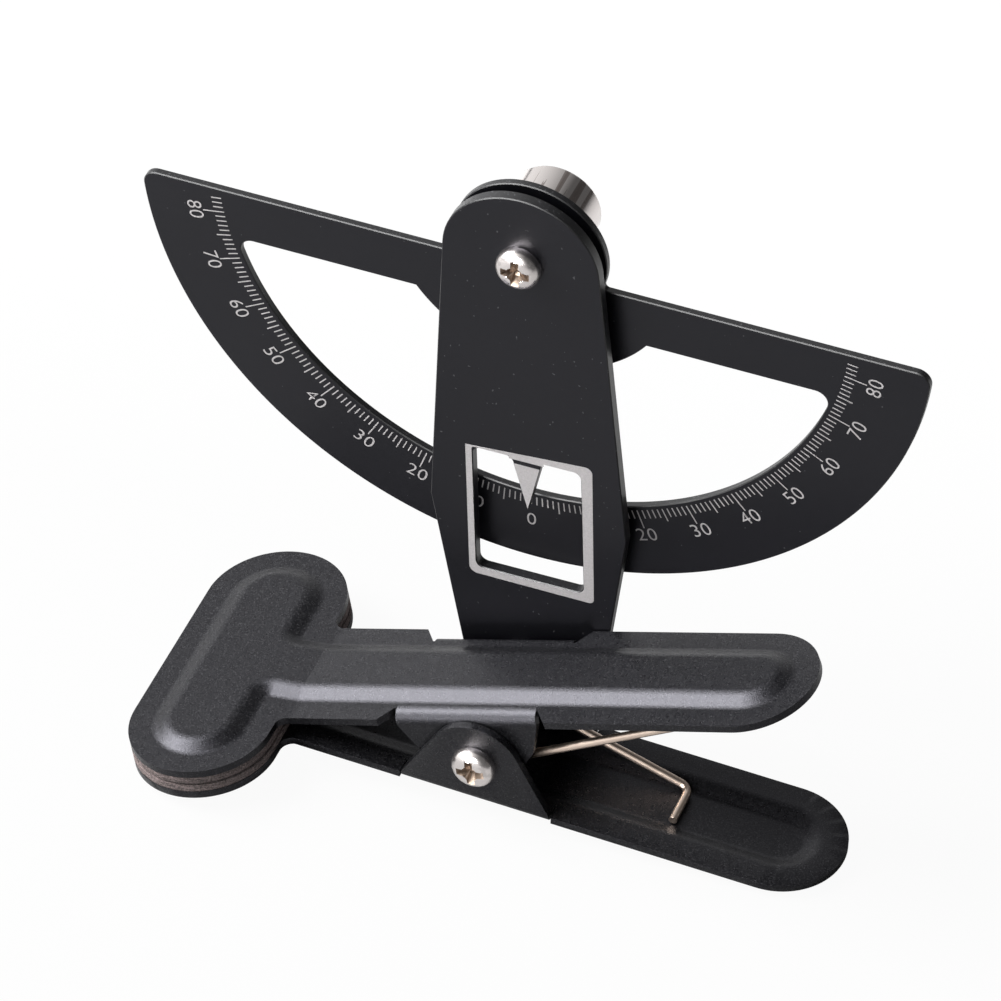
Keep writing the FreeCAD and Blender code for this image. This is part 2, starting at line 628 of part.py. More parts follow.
def make_spring(layout):
    """Torsion spring whose two crossed legs push the arms apart."""
    radius, wire = size("coil_radius"), size("wire / 2")
    upper = foot_point(layout, size("upper_foot_reach"), layout.arm_inner - wire - size("foot_play"))
    depth = layout.arm_inner + size("rib_rise") - wire - size("trough_play")
    lower = foot_point(layout, size("lower_foot_reach"), depth)
    rise = math.atan2(upper.z, upper.x) + math.asin(radius / upper.Length)
    fall = math.atan2(lower.z, lower.x) + math.asin(radius / lower.Length)
    turns = size("coil_turns") + 0.5 + (rise + fall) / (2 * math.pi)
    pitch = size("wire + coil_play")
    slope = math.atan2(pitch, 2 * math.pi * radius)
    coil = Part.makeHelix(pitch, turns * pitch, radius)
    coil.rotate(V(), ALONG_Z, 90 - math.degrees(rise))
    coil.rotate(V(), ALONG_X, -90)
    front, rear = -size("coil_front"), turns * pitch - size("coil_front")
    coil.translate(V(0, front, 0))
    out = V(math.cos(rise) * math.cos(slope), -math.sin(slope), math.sin(rise) * math.cos(slope))
    down = V(math.cos(fall) * math.cos(slope), math.sin(slope), -math.sin(fall) * math.cos(slope))
    upper_start = V(radius * math.sin(rise), front, -radius * math.cos(rise))
    lower_start = V(radius * math.sin(fall), rear, radius * math.cos(fall))
    upper_leg = leg_path(upper_start, out, ALONG_Y, math.sqrt(upper.Length ** 2 - radius ** 2))
    lower_leg = leg_path(lower_start, down, -ALONG_Y, math.sqrt(lower.Length ** 2 - radius ** 2))
    pieces = [rod(upper_leg, wire), rod(lower_leg, wire), rod(coil.Edges, wire)]
    item = DOC.addObject("Part::Feature", "torsion_spring")
    item.Shape = pieces[0].fuse(pieces[1:]).removeSplitter()
    return layout.on_clamp(item)


def foot_point(layout, reach, depth):
    """Where a spring's foot bears on an arm, as distances along and across the middle plane."""
    along = reach * math.cos(layout.bend) - depth * math.sin(layout.bend)
    across = reach * math.sin(layout.bend) + depth * math.cos(layout.bend)
    return V(along, 0, across)


# Screws, nuts, washers and rivets.

def make_screw(label, length):
    """Pan head screw with a cross recess, its head below zero and its shank along +Z."""
    half, shank, top = "screw_head / 2", "thread / 2", "-screw_head_height"
    corners = [("0", top), (half, top), (half, "0"), (shank, "0"), (shank, length + " - screw_tip"),
               (shank + " - screw_tip", length), ("0", length)]
    body = turned(label, corners)
    rim, level = size(half), size(top)

    def is_rim(edge):
        box = edge.BoundBox
        return max(abs(box.ZMin - level), abs(box.ZMax - level)) < 0.001 and box.XLength > rim

    dress(body, "Fillet", is_rim, Radius="screw_head_height * 0.6")
    sketch = new_sketch(body, "recess", "XY_Plane", top)
    draw_polygon(sketch, cross_corners("cross_length / 2", "cross_width / 2"))
    recess = body.newObject("PartDesign::Pocket", label + "_recess")
    recess.Profile = sketch
    recess.Reversed = True
    bind(recess, Length="cross_depth")
    DOC.recompute()
    return body


def cross_corners(reach, half):
    """Twelve corners of a cross, from the reach of its arms and half their width."""
    corner = [(reach, half), (half, half), (half, reach)]
    signs = [("", ""), ("-", ""), ("-", "-"), ("", "-")]
    corners = []
    for index, (across, along) in enumerate(signs):
        quarter = corner if index % 2 == 0 else corner[::-1]
        corners += [(across + "(" + x + ")", along + "(" + y + ")") for x, y in quarter]
    return corners


def hexagon(label, height):
    prism_item = DOC.addObject("Part::Prism", label + "_hexagon")
    prism_item.Polygon = 6
    return bind(prism_item, Circumradius="nut_flats / 2 / cos(30)", Height=height)


def make_plain_nut(label, height):
    bore = cylinder(label + "_bore", "thread / 2 + screw_fit", height + " + 2 * spare", "-spare")
    return cut_pieces(label, hexagon(label, height), bore)


def make_lock_nut(label):
    """Hexagon with the round collar that holds a nylon ring."""
    collar = cylinder(label + "_collar", "nut_flats / 2 - collar_step", "lock_nut_height + lock_collar_height")
    whole = DOC.addObject("Part::Fuse", label + "_whole")
    whole.Base = hexagon(label, "lock_nut_height")
    whole.Tool = collar
    bore = cylinder(label + "_bore", "thread / 2 + screw_fit", "lock_nut_height + 2 * spare", "-spare")
    pocket = cylinder(label + "_pocket", "lock_ring_radius", "lock_collar_height + spare", "lock_nut_height")
    return cut_pieces(label, whole, bore, pocket)


def make_rivets(layout):
    """Two rivets that hold the upright's foot to the lower jaw's rear ear."""
    sink, head = "rivet_sink", "rivet_head_height"
    depth = "jaw_sheet + upright_sheet"
    corners = [("0", "0"), ("rivet_radius + " + sink, "0"), ("rivet_radius", sink),
               ("rivet_radius", depth), ("rivet_head", depth),
               ("rivet_head", depth + " + " + head + " / 2"),
               ("rivet_head * 0.6", depth + " + " + head), ("0", depth + " + " + head)]
    pair = []
    for number, point in enumerate(layout.rivets, start=1):
        body = turned(f"upright_rivet_{number}", corners)
        inside = size("outer_ear_face - jaw_sheet")
        pair.append(layout.on_clamp(body, V(point.x, inside, point.z), TO_REAR))
    group = DOC.addObject("Part::Compound", "upright_rivets")
    group.Links = pair
    return group


def make_clamp_hardware(layout):
    front = -size("outer_ear_face")
    back = layout.upright_back
    half_bush = size("outer_ear_face - 2 * jaw_sheet - ear_running - end_play")
    screw = make_screw("clamp_screw", "clamp_screw_length")
    bush = ring("spring_bush", "bush_radius", "thread / 2 + screw_fit",
                "2 * (outer_ear_face - 2 * jaw_sheet - ear_running - end_play)")
    washer = ring("clamp_washer", "washer_radius", "thread / 2 + screw_fit", "washer")
    nut = make_lock_nut("clamp_nut")
    insert = ring("clamp_nut_insert", "lock_ring_radius - seat_play", "thread / 2 + seat_play",
                  "lock_collar_height - seat_play")
    washer_back = back + size("washer")
    return [layout.on_clamp(screw, V(0, front, 0), TO_REAR),
            layout.on_clamp(bush, V(0, -half_bush, 0), TO_REAR),
            layout.on_clamp(washer, V(0, back, 0), TO_REAR),
            layout.on_clamp(nut, V(0, washer_back, 0), TO_REAR),
            layout.on_clamp(insert, V(0, washer_back + size("lock_nut_height"), 0), TO_REAR)]


# The upright with its window and pointer.

def draw_upright(sketch):
    """Round top, sides that widen to the shoulders, and a foot that narrows again."""
    radius = size("upright_head_radius")
    half, drop = size("shoulder_half"), -size("shoulder_drop")
    foot, low = size("foot_half"), -size("pivot_rise + foot_reach")
    top = Part.ArcOfCircle(Part.Circle(V(), ALONG_Z, radius), 0, math.pi)
    points = [V(-radius, 0, 0), V(-half, drop, 0), V(-foot, low, 0), V(foot, low, 0),
              V(half, drop, 0), V(radius, 0, 0)]
    arc = sketch.addGeometry(top, False)
    lines = [sketch.addGeometry(Part.LineSegment(start, end), False)
             for start, end in zip(points, points[1:])]
    sketch.addConstraint(Sketcher.Constraint("Coincident", arc, 3, -1, 1))
    for line, following in zip(lines, lines[1:]):
        sketch.addConstraint(Sketcher.Constraint("Coincident", line, 2, following, 1))
    sketch.addConstraint(Sketcher.Constraint("Tangent", arc, 2, lines[0], 1))
    sketch.addConstraint(Sketcher.Constraint("Tangent", lines[-1], 2, arc, 1))
    hold_radius(sketch, arc, "upright_head_radius")
    pin_point(sketch, lines[1], 1, "-shoulder_half", "-shoulder_drop")
    pin_point(sketch, lines[2], 1, "-foot_half", "-(pivot_rise + foot_reach)")
    pin_point(sketch, lines[3], 1, "foot_half", "-(pivot_rise + foot_reach)")
    pin_point(sketch, lines[4], 1, "shoulder_half", "-shoulder_drop")


def make_upright(layout):
    body = new_body("upright")
    outline = new_sketch(body, "outline", "XZ_Plane")
    draw_upright(outline)
    pad(body, outline, "upright_sheet", backward=True)
    low = -size("pivot_rise + foot_reach")
    dress(body, "Fillet", lambda edge: crosswise(edge) and abs(edge.BoundBox.ZMin - low) < 0.001,
          Radius="foot_corner")
    window = new_sketch(body, "window", "XZ_Plane")
    top, bottom = "-window_drop", "-(window_drop + window_height)"
    draw_polygon(window, [("-window_half", top), ("-pointer_half", top),
                          ("0", "-(window_drop + pointer_length)"), ("pointer_half", top),
                          ("window_half", top), ("window_half", bottom), ("-window_half", bottom)])
    cut_through(body, window)
    edge_of_window = size("window_half")
    dress(body, "Fillet",
          lambda edge: crosswise(edge) and abs(abs(edge.BoundBox.XMin) - edge_of_window) < 0.001
          and edge.BoundBox.ZMax < -size("window_drop") + 0.001,
          Radius="window_corner")
    dress(body, "Fillet", crossing(size("pointer_half"), -size("window_drop"), sides=(-1,)),
          Radius="pointer_blend")
    holes = new_sketch(body, "holes", "XZ_Plane")
    draw_circle(holes, "0", "0", "thread / 2 + screw_fit")
    draw_circle(holes, "foot_shift * cos(upright_lean) - pivot_rise * sin(upright_lean)",
                "-foot_shift * sin(upright_lean) - pivot_rise * cos(upright_lean)",
                "thread / 2 + screw_fit")
    for point in layout.rivets:
        spot = layout.in_upright(point)
        draw_circle(holes, f"{spot.x}", f"{spot.z}", "rivet_radius + seat_play")
    cut_through(body, holes)
    dress(body, "Chamfer", outer_edges("upright_sheet"), Size="edge_break")
    turn = FreeCAD.Rotation(ALONG_Y, -size("upright_lean"))
    return layout.on_dial_axis(body, layout.upright_front, turn)


def outer_edges(sheet):
    """Test for the edges in both faces of a plate, apart from those of its small holes."""
    in_face = on_faces((0, size(sheet)))

    def chosen(edge):
        small = edge.Curve.TypeId == "Part::GeomCircle" and edge.Curve.Radius < size("thread")
        return in_face(edge) and not (small and edge.isClosed())
    return chosen


# The dial, its barrel and its bearings.

def make_dial(layout):
    body = new_body("dial_plate")
    half_disc = new_sketch(body, "disc", "XZ_Plane")
    draw_segment(half_disc, "dial_radius", "beam_drop")
    pad(body, half_disc, "dial_sheet", backward=True)
    opening = new_sketch(body, "opening", "XZ_Plane")
    draw_segment(opening, "opening_radius", "opening_drop")
    cut_through(body, opening)
    hub = new_sketch(body, "hub", "XZ_Plane")
    draw_segment(hub, "dial_hub_radius", "beam_drop")
    pad(body, hub, "dial_sheet", backward=True)
    lug = new_sketch(body, "lug", "XZ_Plane")
    draw_circle(lug, "0", "0", "lug_radius")
    pad(body, lug, "dial_sheet", backward=True)
    corner = size("sqrt(opening_radius ^ 2 - opening_drop ^ 2)")
    dress(body, "Fillet", crossing(corner, -size("opening_drop")), Radius="opening_corner")
    corner = size("sqrt(dial_radius ^ 2 - beam_drop ^ 2)")
    dress(body, "Fillet", crossing(corner, -size("beam_drop")), Radius="dial_corner")
    corner = size("sqrt(lug_radius ^ 2 - beam_drop ^ 2)")
    dress(body, "Fillet", crossing(corner, -size("beam_drop")), Radius="lug_blend")
    bore = new_sketch(body, "bore", "XZ_Plane")
    draw_circle(bore, "0", "0", "spigot_radius + seat_play")
    cut_through(body, bore)
    dress(body, "Chamfer", on_faces((0, size("dial_sheet"))), Size="edge_break")
    return layout.on_dial_axis(body, layout.dial_front)


def crossing(x, z, sides=(-1, 1)):
    """Test for the edges through a plate at a distance x either side, at level z."""
    def chosen(edge):
        place = edge.BoundBox.Center
        return (crosswise(edge) and abs(place.z - z) < 0.01
                and any(abs(place.x - side * x) < 0.01 for side in sides))
    return chosen


def make_barrel(layout):
    """Turned barrel that joins the dial to the outer rings of its bearings."""
    first = "bearing_inset + bearing_width"
    second = first + " + bearing_spread"
    rear = "dial_sheet + barrel_length"
    step = "bearing_radius - barrel_step"
    bore = "bearing_radius + seat_play"
    corners = [("spigot_radius", "0"), ("spigot_radius", "dial_sheet"), ("barrel_radius", "dial_sheet"),
               ("barrel_radius", rear + " - barrel_edge"), ("barrel_radius - barrel_edge", rear),
               (bore, rear), (bore, second), (step, second), (step, first), (bore, first), (bore, "0")]
    return layout.on_dial_axis(turned("dial_barrel", corners), layout.dial_front, TO_REAR)


def groove(label):
    """Torus that both rings and the cage of a bearing are cut by."""
    torus = DOC.addObject("Part::Torus", label)
    bind(torus, Radius1="race_radius", Radius2="ball_radius + ball_play")
    torus.setExpression(".Placement.Base.z", linked("bearing_width / 2"))
    return torus


def balls(label):
    """The balls of one bearing, as a ring of spheres."""
    spheres = []
    for number in range(BALLS):
        sphere = DOC.addObject("Part::Sphere", f"{label}_{number}")
        bind(sphere, Radius="ball_radius")
        turn = f"{360 / BALLS * number}"
        sphere.setExpression(".Placement.Base.x", linked(f"race_radius * cos({turn})"))
        sphere.setExpression(".Placement.Base.y", linked(f"race_radius * sin({turn})"))
        sphere.setExpression(".Placement.Base.z", linked("bearing_width / 2"))
        spheres.append(sphere)
    return spheres


def pockets(label):
    """Round holes that a cage holds its balls in, drilled from the axis outwards."""
    drills = []
    outward = FreeCAD.Rotation(ALONG_Y, 90)
    for number in range(BALLS):
        drill = cylinder(f"{label}_{number}", "ball_radius + cage_play", "race_radius + spare")
        drill.Placement.Rotation = FreeCAD.Rotation(ALONG_Z, 360 / BALLS * number).multiply(outward)
        drill.setExpression(".Placement.Base.z", linked("bearing_width / 2"))
        drills.append(drill)
    return drills


def make_bearing(layout, side, y):
    """Rings, cage and balls of one ball bearing, from its front face at y."""
    outer = cylinder(side + "_outer_body", "bearing_radius", "bearing_width")
    outer_bore = cylinder(side + "_outer_bore", "race_radius + race_step", "bearing_width + 2 * spare", "-spare")
    outer_ring = cut_pieces(side + "_outer_ring", outer, outer_bore, groove(side + "_outer_groove"))
    inner = cylinder(side + "_inner_body", "spacer_radius", "bearing_width")
    inner_bore = cylinder(side + "_inner_bore", "thread / 2 + screw_fit", "bearing_width + 2 * spare", "-spare")
    inner_ring = cut_pieces(side + "_inner_ring", inner, inner_bore, groove(side + "_inner_groove"))
    level = "(bearing_width - cage_width) / 2"
    band = cylinder(side + "_cage_band", "race_radius + cage_step", "cage_width", level)
    hollow = cylinder(side + "_cage_hollow", "race_radius - cage_step", "bearing_width + 2 * spare", "-spare")
    cage = cut_pieces(side + "_cage", band, hollow, *pockets(side + "_pocket"))
    group = DOC.addObject("Part::Compound", side + "_balls")
    group.Links = balls(side + "_ball")
    return [layout.on_dial_axis(item, y, TO_REAR) for item in (outer_ring, inner_ring, cage, group)]


def make_dial_hardware(layout):
    first = layout.dial_front + size("bearing_inset")
    second = first + size("bearing_width + bearing_spread")
    washer = second + size("bearing_width")
    bore = "thread / 2 + screw_fit"
    front_spacer = ring("front_spacer", "spacer_radius", bore, "upright_gap + bearing_inset")
    middle_spacer = ring("bearing_spacer", "spacer_radius", bore, "bearing_spread")
    rear_washer = ring("dial_washer", "small_washer_radius", bore, "washer")
    nut = make_plain_nut("dial_nut", "plain_nut_height")
    screw = make_screw("dial_screw", "dial_screw_length")
    pieces = [(screw, layout.upright_front), (front_spacer, layout.upright_back),
              (middle_spacer, first + size("bearing_width")), (rear_washer, washer),
              (nut, washer + size("washer"))]
    placed = [layout.on_dial_axis(item, y, TO_REAR) for item, y in pieces]
    return placed + make_bearing(layout, "front", first) + make_bearing(layout, "rear", second)


# Checks and files.

def check_document():
    """Stop on any object that failed to compute."""
    DOC.recompute()
    for item in DOC.Objects:
        if "Invalid" in item.State or "Error" in item.State:
            raise ValueError(f"{item.Label} failed: {item.State}")


def export(nodes):
    os.makedirs("parts", exist_ok=True)
    for item in nodes:
        shape = item.Shape
        if shape.isNull() or not shape.isValid() or not shape.Solids:
            raise ValueError(item.Label + " has no valid solid")
    for item in nodes:
        item.Shape.exportStep("parts/" + item.Label + ".step")
        box = item.Shape.BoundBox
        print(f"{item.Label}: {len(item.Shape.Solids)} solids, {item.Shape.Volume:.1f} mm3, "
              f"x {box.XMin:.2f} {box.XMax:.2f}, y {box.YMin:.2f} {box.YMax:.2f}, "
              f"z {box.ZMin:.2f} {box.ZMax:.2f}")


def main():
    fill_sheet()
    layout = Layout()
    nodes = make_jaws(layout)
    nodes += [make_pad(layout, "upper_pad", 1), make_pad(layout, "lower_pad", -1)]
    nodes += [make_spring(layout), make_rivets(layout)]
    nodes += make_clamp_hardware(layout)
    nodes += [make_upright(layout), make_dial(layout), make_barrel(layout)]
    nodes += make_dial_hardware(layout)
    check_document()
    export(nodes)


main()
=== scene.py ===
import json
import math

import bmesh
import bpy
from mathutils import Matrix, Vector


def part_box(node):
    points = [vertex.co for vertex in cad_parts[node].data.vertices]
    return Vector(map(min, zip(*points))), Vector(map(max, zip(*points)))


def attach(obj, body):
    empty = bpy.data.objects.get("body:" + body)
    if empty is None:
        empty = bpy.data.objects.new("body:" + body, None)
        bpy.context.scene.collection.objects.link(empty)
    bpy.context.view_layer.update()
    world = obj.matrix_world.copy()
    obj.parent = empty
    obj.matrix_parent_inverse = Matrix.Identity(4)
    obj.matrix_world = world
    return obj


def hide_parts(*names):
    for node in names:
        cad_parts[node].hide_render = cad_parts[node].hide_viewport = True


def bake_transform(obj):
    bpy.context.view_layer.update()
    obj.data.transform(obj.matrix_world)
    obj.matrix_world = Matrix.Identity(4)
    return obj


bl_info = {
    "name": "Control Surface Throw Gauge",
    "version": (1, 0, 0),
    "blender": (4, 5, 0),
    "location": "View3D > Sidebar > Throw Gauge",
    "description": "Dresses a spring-clamp throw gauge with a swinging degree dial",
    "category": "Object",
}

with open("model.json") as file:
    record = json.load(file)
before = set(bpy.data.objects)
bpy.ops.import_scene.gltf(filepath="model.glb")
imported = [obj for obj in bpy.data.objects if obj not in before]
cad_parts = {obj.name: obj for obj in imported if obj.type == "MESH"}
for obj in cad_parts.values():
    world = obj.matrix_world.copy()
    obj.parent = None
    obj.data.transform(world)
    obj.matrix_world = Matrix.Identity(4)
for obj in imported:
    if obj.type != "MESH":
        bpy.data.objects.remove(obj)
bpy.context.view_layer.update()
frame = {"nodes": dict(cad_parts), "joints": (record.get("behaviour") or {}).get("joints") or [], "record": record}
MM = 0.001
JOINTS = {joint["name"]: joint for joint in frame["joints"]}
GRIP = next(mount for mount in frame["record"]["mounts"] if mount["name"] == "trailing_edge_grip")
PITCH = math.atan2(-GRIP["axis"][2], -GRIP["axis"][0])
CLAMP_PIVOT = Vector(JOINTS["clamp_hinge"]["pos_m"])
DIAL_PIVOT = Vector((0.0, 0.0, JOINTS["dial_swing"]["pos_m"][2]))

# In millimetres: how near a corner is to count as on a line, the gap around screws and the threads' depth.
NEAR = 0.01
HOLE_PLAY = 0.05
THREAD_DEPTH = 0.28

PALE_SPECK = (0.2, 0.2, 0.21)
WHITE = (1.0, 1.0, 1.0, 1.0)
UPSIDE_DOWN = Matrix.Diagonal((1, 1, -1, 1))
STAND_UP = Matrix.Rotation(math.pi / 2, 4, "X")
BEND_TURNS = [math.radians(15 * step) for step in range(7)]


def depth(node):
    """Front and back of a CAD node, in millimetres."""
    low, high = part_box(node)
    return low.y / MM, high.y / MM


# Sizes and colours.

def length(name, millimetres, description):
    return bpy.props.FloatProperty(
        name=name, description=description, default=millimetres * MM, subtype="DISTANCE", unit="LENGTH",
        precision=5)


def angle(name, degrees, description):
    return bpy.props.FloatProperty(
        name=name, description=description, default=math.radians(degrees), subtype="ANGLE", unit="ROTATION")


def count(name, value, description):
    return bpy.props.FloatProperty(name=name, description=description, default=value)


def colour(name, value, description):
    return bpy.props.FloatVectorProperty(
        name=name, description=description, default=value, subtype="COLOR", size=3, min=0.0, max=1.0)


class GaugeClampSizes(bpy.types.PropertyGroup):
    """Sizes of the two pressed jaws, their pads and the spring."""
    sheet: length("Sheet", 1.0, "Thickness of the jaws")
    pad_sheet: length("Pad", 1.05, "Thickness of a pad")
    pad_gap: length("Pad gap", 0.26, "Gap between the pads at rest")
    head_half: length("Head length", 11.35, "Middle of a head to the centre of its round end")
    head_radius: length("Head radius", 9.2, "Half the width of a head")
    neck_blend: length("Neck blend", 1.5, "Fillet between head and arm")
    arm_half: length("Arm half width", 8.4, "Half the width of an arm")
    arm_length: length("Arm length", 60.6, "Crease to the centre of the arm's round end")
    crease_reach: length("Crease", 24.6, "Pivot to the crease")
    bend: angle("Bend", 10.6, "Bend of a jaw at its crease")
    rib_inset: length("Rib inset", 3.3, "Flat border around the rib")
    rib_slope: length("Rib slope", 1.9, "Width of the rib's sloping sides")
    rib_rise: length("Rib rise", 1.0, "Height of the rib")
    rib_blend: length("Rib blend", 0.9, "Fillet of the rib at the neck")
    ear_half: length("Ear", 9.7, "Half the length of an ear at its bend")
    ear_waist: length("Ear waist", 7.7, "Half the length of an inner ear where its sides turn in")
    ear_knee: length("Ear knee", 0.6, "The same place, above the pivot")
    ear_bend: length("Ear bend", 1.3, "Outer radius of the bend at an outer ear")
    inner_bend: length("Inner ear bend", 1.8, "Outer radius of the bend at the front inner ear")
    rear_bend: length("Rear ear bend", 1.2, "Outer radius of the bend at the rear inner ear")
    relief_slit: length("Relief slit", 0.25, "Width of the slit at the end of an outer ear")
    relief_half: length("Relief", 11.6, "Half the length of an inner ear's relief at the edge")
    relief_root: length("Relief root", 9.95, "Half the length of an inner ear's relief at its root")
    relief_depth: length("Relief depth", 6.2, "Root of the reliefs, from the middle")
    wire: length("Wire", 1.1, "Diameter of the spring's wire")
    coil_radius: length("Coil radius", 3.0, "Mean radius of the coil")
    coil_front: length("Coil front", 4.6, "Front end of the coil")
    coil_turns: count("Coil turns", 5.0, "Full turns of the coil")
    coil_play: length("Coil play", 0.03, "Gap between turns")
    upper_foot: length("Upper foot", 30.0, "Reach of the spring's upper foot")
    lower_foot: length("Lower foot", 23.7, "Reach of the spring's lower foot")
    foot_length: length("Foot", 5.9, "Length of the spring's bent feet")
    foot_bend: length("Foot bend", 1.2, "Radius of the bends in the wire")
    foot_play: length("Foot play", 0.05, "Gap between the upper foot and its arm")
    rib_soft: length("Rib softness", 0.5, "Half the width of the rib's rounded edges")
    rim: length("Rim", 0.2, "Rounded rims of the jaws")
    ear_running: length("Ear gap", 0.2, "Gap between inner and outer ears")
    inner_ear: length("Inner ear", 5.0, "Round end of the upper jaw's ears")
    outer_ear: length("Outer ear", 5.9, "Round end of the lower jaw's front ear")
    rear_ear: length("Rear ear", 4.8, "Round end of the lower jaw's rear ear")
    trough_play: length("Trough play", 0.18, "Gap between the lower foot and the rib's floor")


class GaugePlateSizes(bpy.types.PropertyGroup):
    """Sizes of the dial, its scale and the upright."""
    dial_radius: length("Dial radius", 50.0, "Outer radius of the dial")
    opening_radius: length("Opening radius", 39.3, "Round side of the dial's opening")
    beam_drop: length("Beam", 3.5, "Top of the beam, below the pivot")
    opening_drop: length("Opening", 10.5, "Straight side of the opening, below the pivot")
    hub_radius: length("Hub radius", 18.0, "Round lower side of the dial around its hub")
    lug_radius: length("Lug radius", 9.7, "Round lug above the beam")
    lug_blend: length("Lug blend", 0.5, "Fillet between lug and beam")
    dial_corner: length("Dial corner", 1.8, "Rounded ends of the beam")
    opening_corner: length("Opening corner", 1.6, "Rounded corners of the opening")
    edge_break: length("Edge break", 0.12, "Broken edges of both plates")
    tick_start: length("Tick start", 39.9, "Inner end of the degree marks")
    tick_short: length("Short tick", 41.2, "Outer end of a single degree's mark")
    tick_middle: length("Middle tick", 41.8, "Outer end of a five degree mark")
    tick_long: length("Long tick", 42.7, "Outer end of a ten degree mark")
    tick_width: length("Tick width", 0.15, "Width of the marks")
    number_radius: length("Number radius", 43.8, "Middle of the numbers")
    number_size: length("Number size", 2.72, "Type size of the numbers")
    mark_depth: length("Mark depth", 0.012, "How far the marks stand on the black surface")
    lean: angle("Lean", 1.05, "Turn of the upright about the dial's pivot")
    head_radius: length("Upright top", 9.9, "Round top of the upright")
    shoulder_half: length("Shoulder", 12.7, "Half the width at the shoulders")
    shoulder_drop: length("Shoulder drop", 40.6, "Shoulders, below the dial's pivot")
    foot_half: length("Foot", 8.1, "Half the width of the foot")
    foot_drop: length("Foot drop", 72.0, "Foot, below the dial's pivot")
    foot_corner: length("Foot corner", 2.0, "Rounded corners of the foot")
    window_half: length("Window half width", 7.0, "Half the width of the window")
    window_drop: length("Window drop", 31.2, "Top of the window")
    window_height: length("Window height", 19.8, "Height of the window")
    window_corner: length("Window corner", 1.1, "Rounded corners of the window")
    pointer_blend: length("Pointer blend", 1.1, "Fillet at the left of the pointer's root")
    pointer_strip: length("Pointer strip", 0.95, "Black strip above the pointer's mark")
    pointer_half: length("Pointer root", 1.95, "Half the width of the pointer's root")
    pointer_length: length("Pointer", 8.1, "Length of the pointer")


class GaugeHardwareSizes(bpy.types.PropertyGroup):
    """Sizes of screws, nuts, washers, barrel and rivets."""
    thread: length("Thread", 3.0, "Diameter of both screws")
    thread_pitch: length("Pitch", 0.5, "Pitch of the threads")
    screw_head: length("Screw head", 5.6, "Diameter of a screw's head")
    head_height: length("Head height", 2.0, "Height of a screw's head")
    cross_length: length("Cross length", 3.9, "Length of the cross recess")
    cross_width: length("Cross width", 1.05, "Width of the cross recess")
    cross_depth: length("Cross depth", 1.2, "Depth of the cross recess")
    nut_flats: length("Nut", 5.5, "Width of the nuts across flats")
    barrel_radius: length("Barrel", 5.6, "Radius of the barrel")
    barrel_bore: length("Barrel bore", 3.52, "Radius of the barrel's bore")
    barrel_edge: length("Barrel edge", 0.4, "Broken rear edge of the barrel")
    spigot: length("Spigot", 4.3, "Radius of the barrel's spigot in the dial")
    washer_radius: length("Washer", 3.4, "Radius of the clamp's washer")
    clamp_cross: angle("Clamp screw turn", 2, "Turn of the clamp screw's recess")
    dial_cross: angle("Dial screw turn", 0, "Turn of the dial screw's recess")
    rivet_head: length("Rivet head", 1.7, "Radius of a rivet's head")
    rivet_side: length("Rivet side", 5.2, "Rivets, beside the clamp's pivot")
    rivet_drop: length("Rivet drop", 2.6, "Rivets, below the clamp's pivot")


class GaugeFinish(bpy.types.PropertyGroup):
    """Colours of the gauge's finishes."""
    coat: colour("Powder coat", (0.002, 0.002, 0.0025), "Textured coat of the jaws")
    fleck: colour("Fleck", (0.2, 0.2, 0.21), "Bright flecks in the coat")
    anodised: colour("Anodised", (0.002, 0.002, 0.0028), "Satin black of dial and upright")
    tint: colour("Tint", (0.9, 0.89, 1.0), "Cool tint of what the black finishes reflect")
    cut_edge: colour("Cut edge", (0.005, 0.005, 0.006), "Worn edges of dial and upright")
    mark: colour("Mark", (0.58, 0.555, 0.56), "Laser marks on dial and upright")
    nickel: colour("Nickel", (0.8, 0.75, 0.73), "Bright nickel of screws and barrel")
    wire: colour("Wire", (0.76, 0.62, 0.52), "Warm plating of the spring")
    zinc: colour("Zinc", (0.6, 0.6, 0.61), "Zinc plated nuts and washers")
    felt: colour("Pad", (0.38, 0.3, 0.29), "Pads between the jaws")
    brass: colour("Brass", (0.7, 0.54, 0.28), "Spacers and bearing cages")


# Shader maths written as Python expressions.

class Value:
    """A socket of a material's nodes that sums can be written with."""

    def __init__(self, finish, socket):
        self.finish = finish
        self.socket = socket

    def with_math(self, operation, *inputs):
        return self.finish.node("ShaderNodeMath", {"operation": operation}, dict(enumerate(inputs)))

    def __add__(self, other):
        return self.with_math("ADD", self, other)

    def __radd__(self, other):
        return self.with_math("ADD", other, self)

    def __sub__(self, other):
        return self.with_math("SUBTRACT", self, other)

    def __rsub__(self, other):
        return self.with_math("SUBTRACT", other, self)

    def __mul__(self, other):
        return self.with_math("MULTIPLY", self, other)

    def __rmul__(self, other):
        return self.with_math("MULTIPLY", other, self)

    def __gt__(self, other):
        return self.with_math("GREATER_THAN", self, other)

    def __lt__(self, other):
        return self.with_math("LESS_THAN", self, other)


def shaded(colour, share):
    """A colour made darker or lighter."""
    return tuple(channel * share for channel in colour)


class Nodes:
    """Nodes of a material or world, and one method that adds any node."""

    def __init__(self, owner):
        owner.use_nodes = True
        self.tree = owner.node_tree

    def node(self, kind, settings=None, inputs=None, output=0):
        made = self.tree.nodes.new(kind)
        for name, value in (settings or {}).items():
            setattr(made, name, value)
        for name, value in (inputs or {}).items():
            self.feed(made.inputs[name], value)
        return Value(self, made.outputs[output])

    def feed(self, socket, value):
        if isinstance(value, Value):
            self.tree.links.new(value.socket, socket)
        elif socket.type == "RGBA" and len(value) == 3:
            socket.default_value = (*value, 1.0)
        else:
            socket.default_value = value


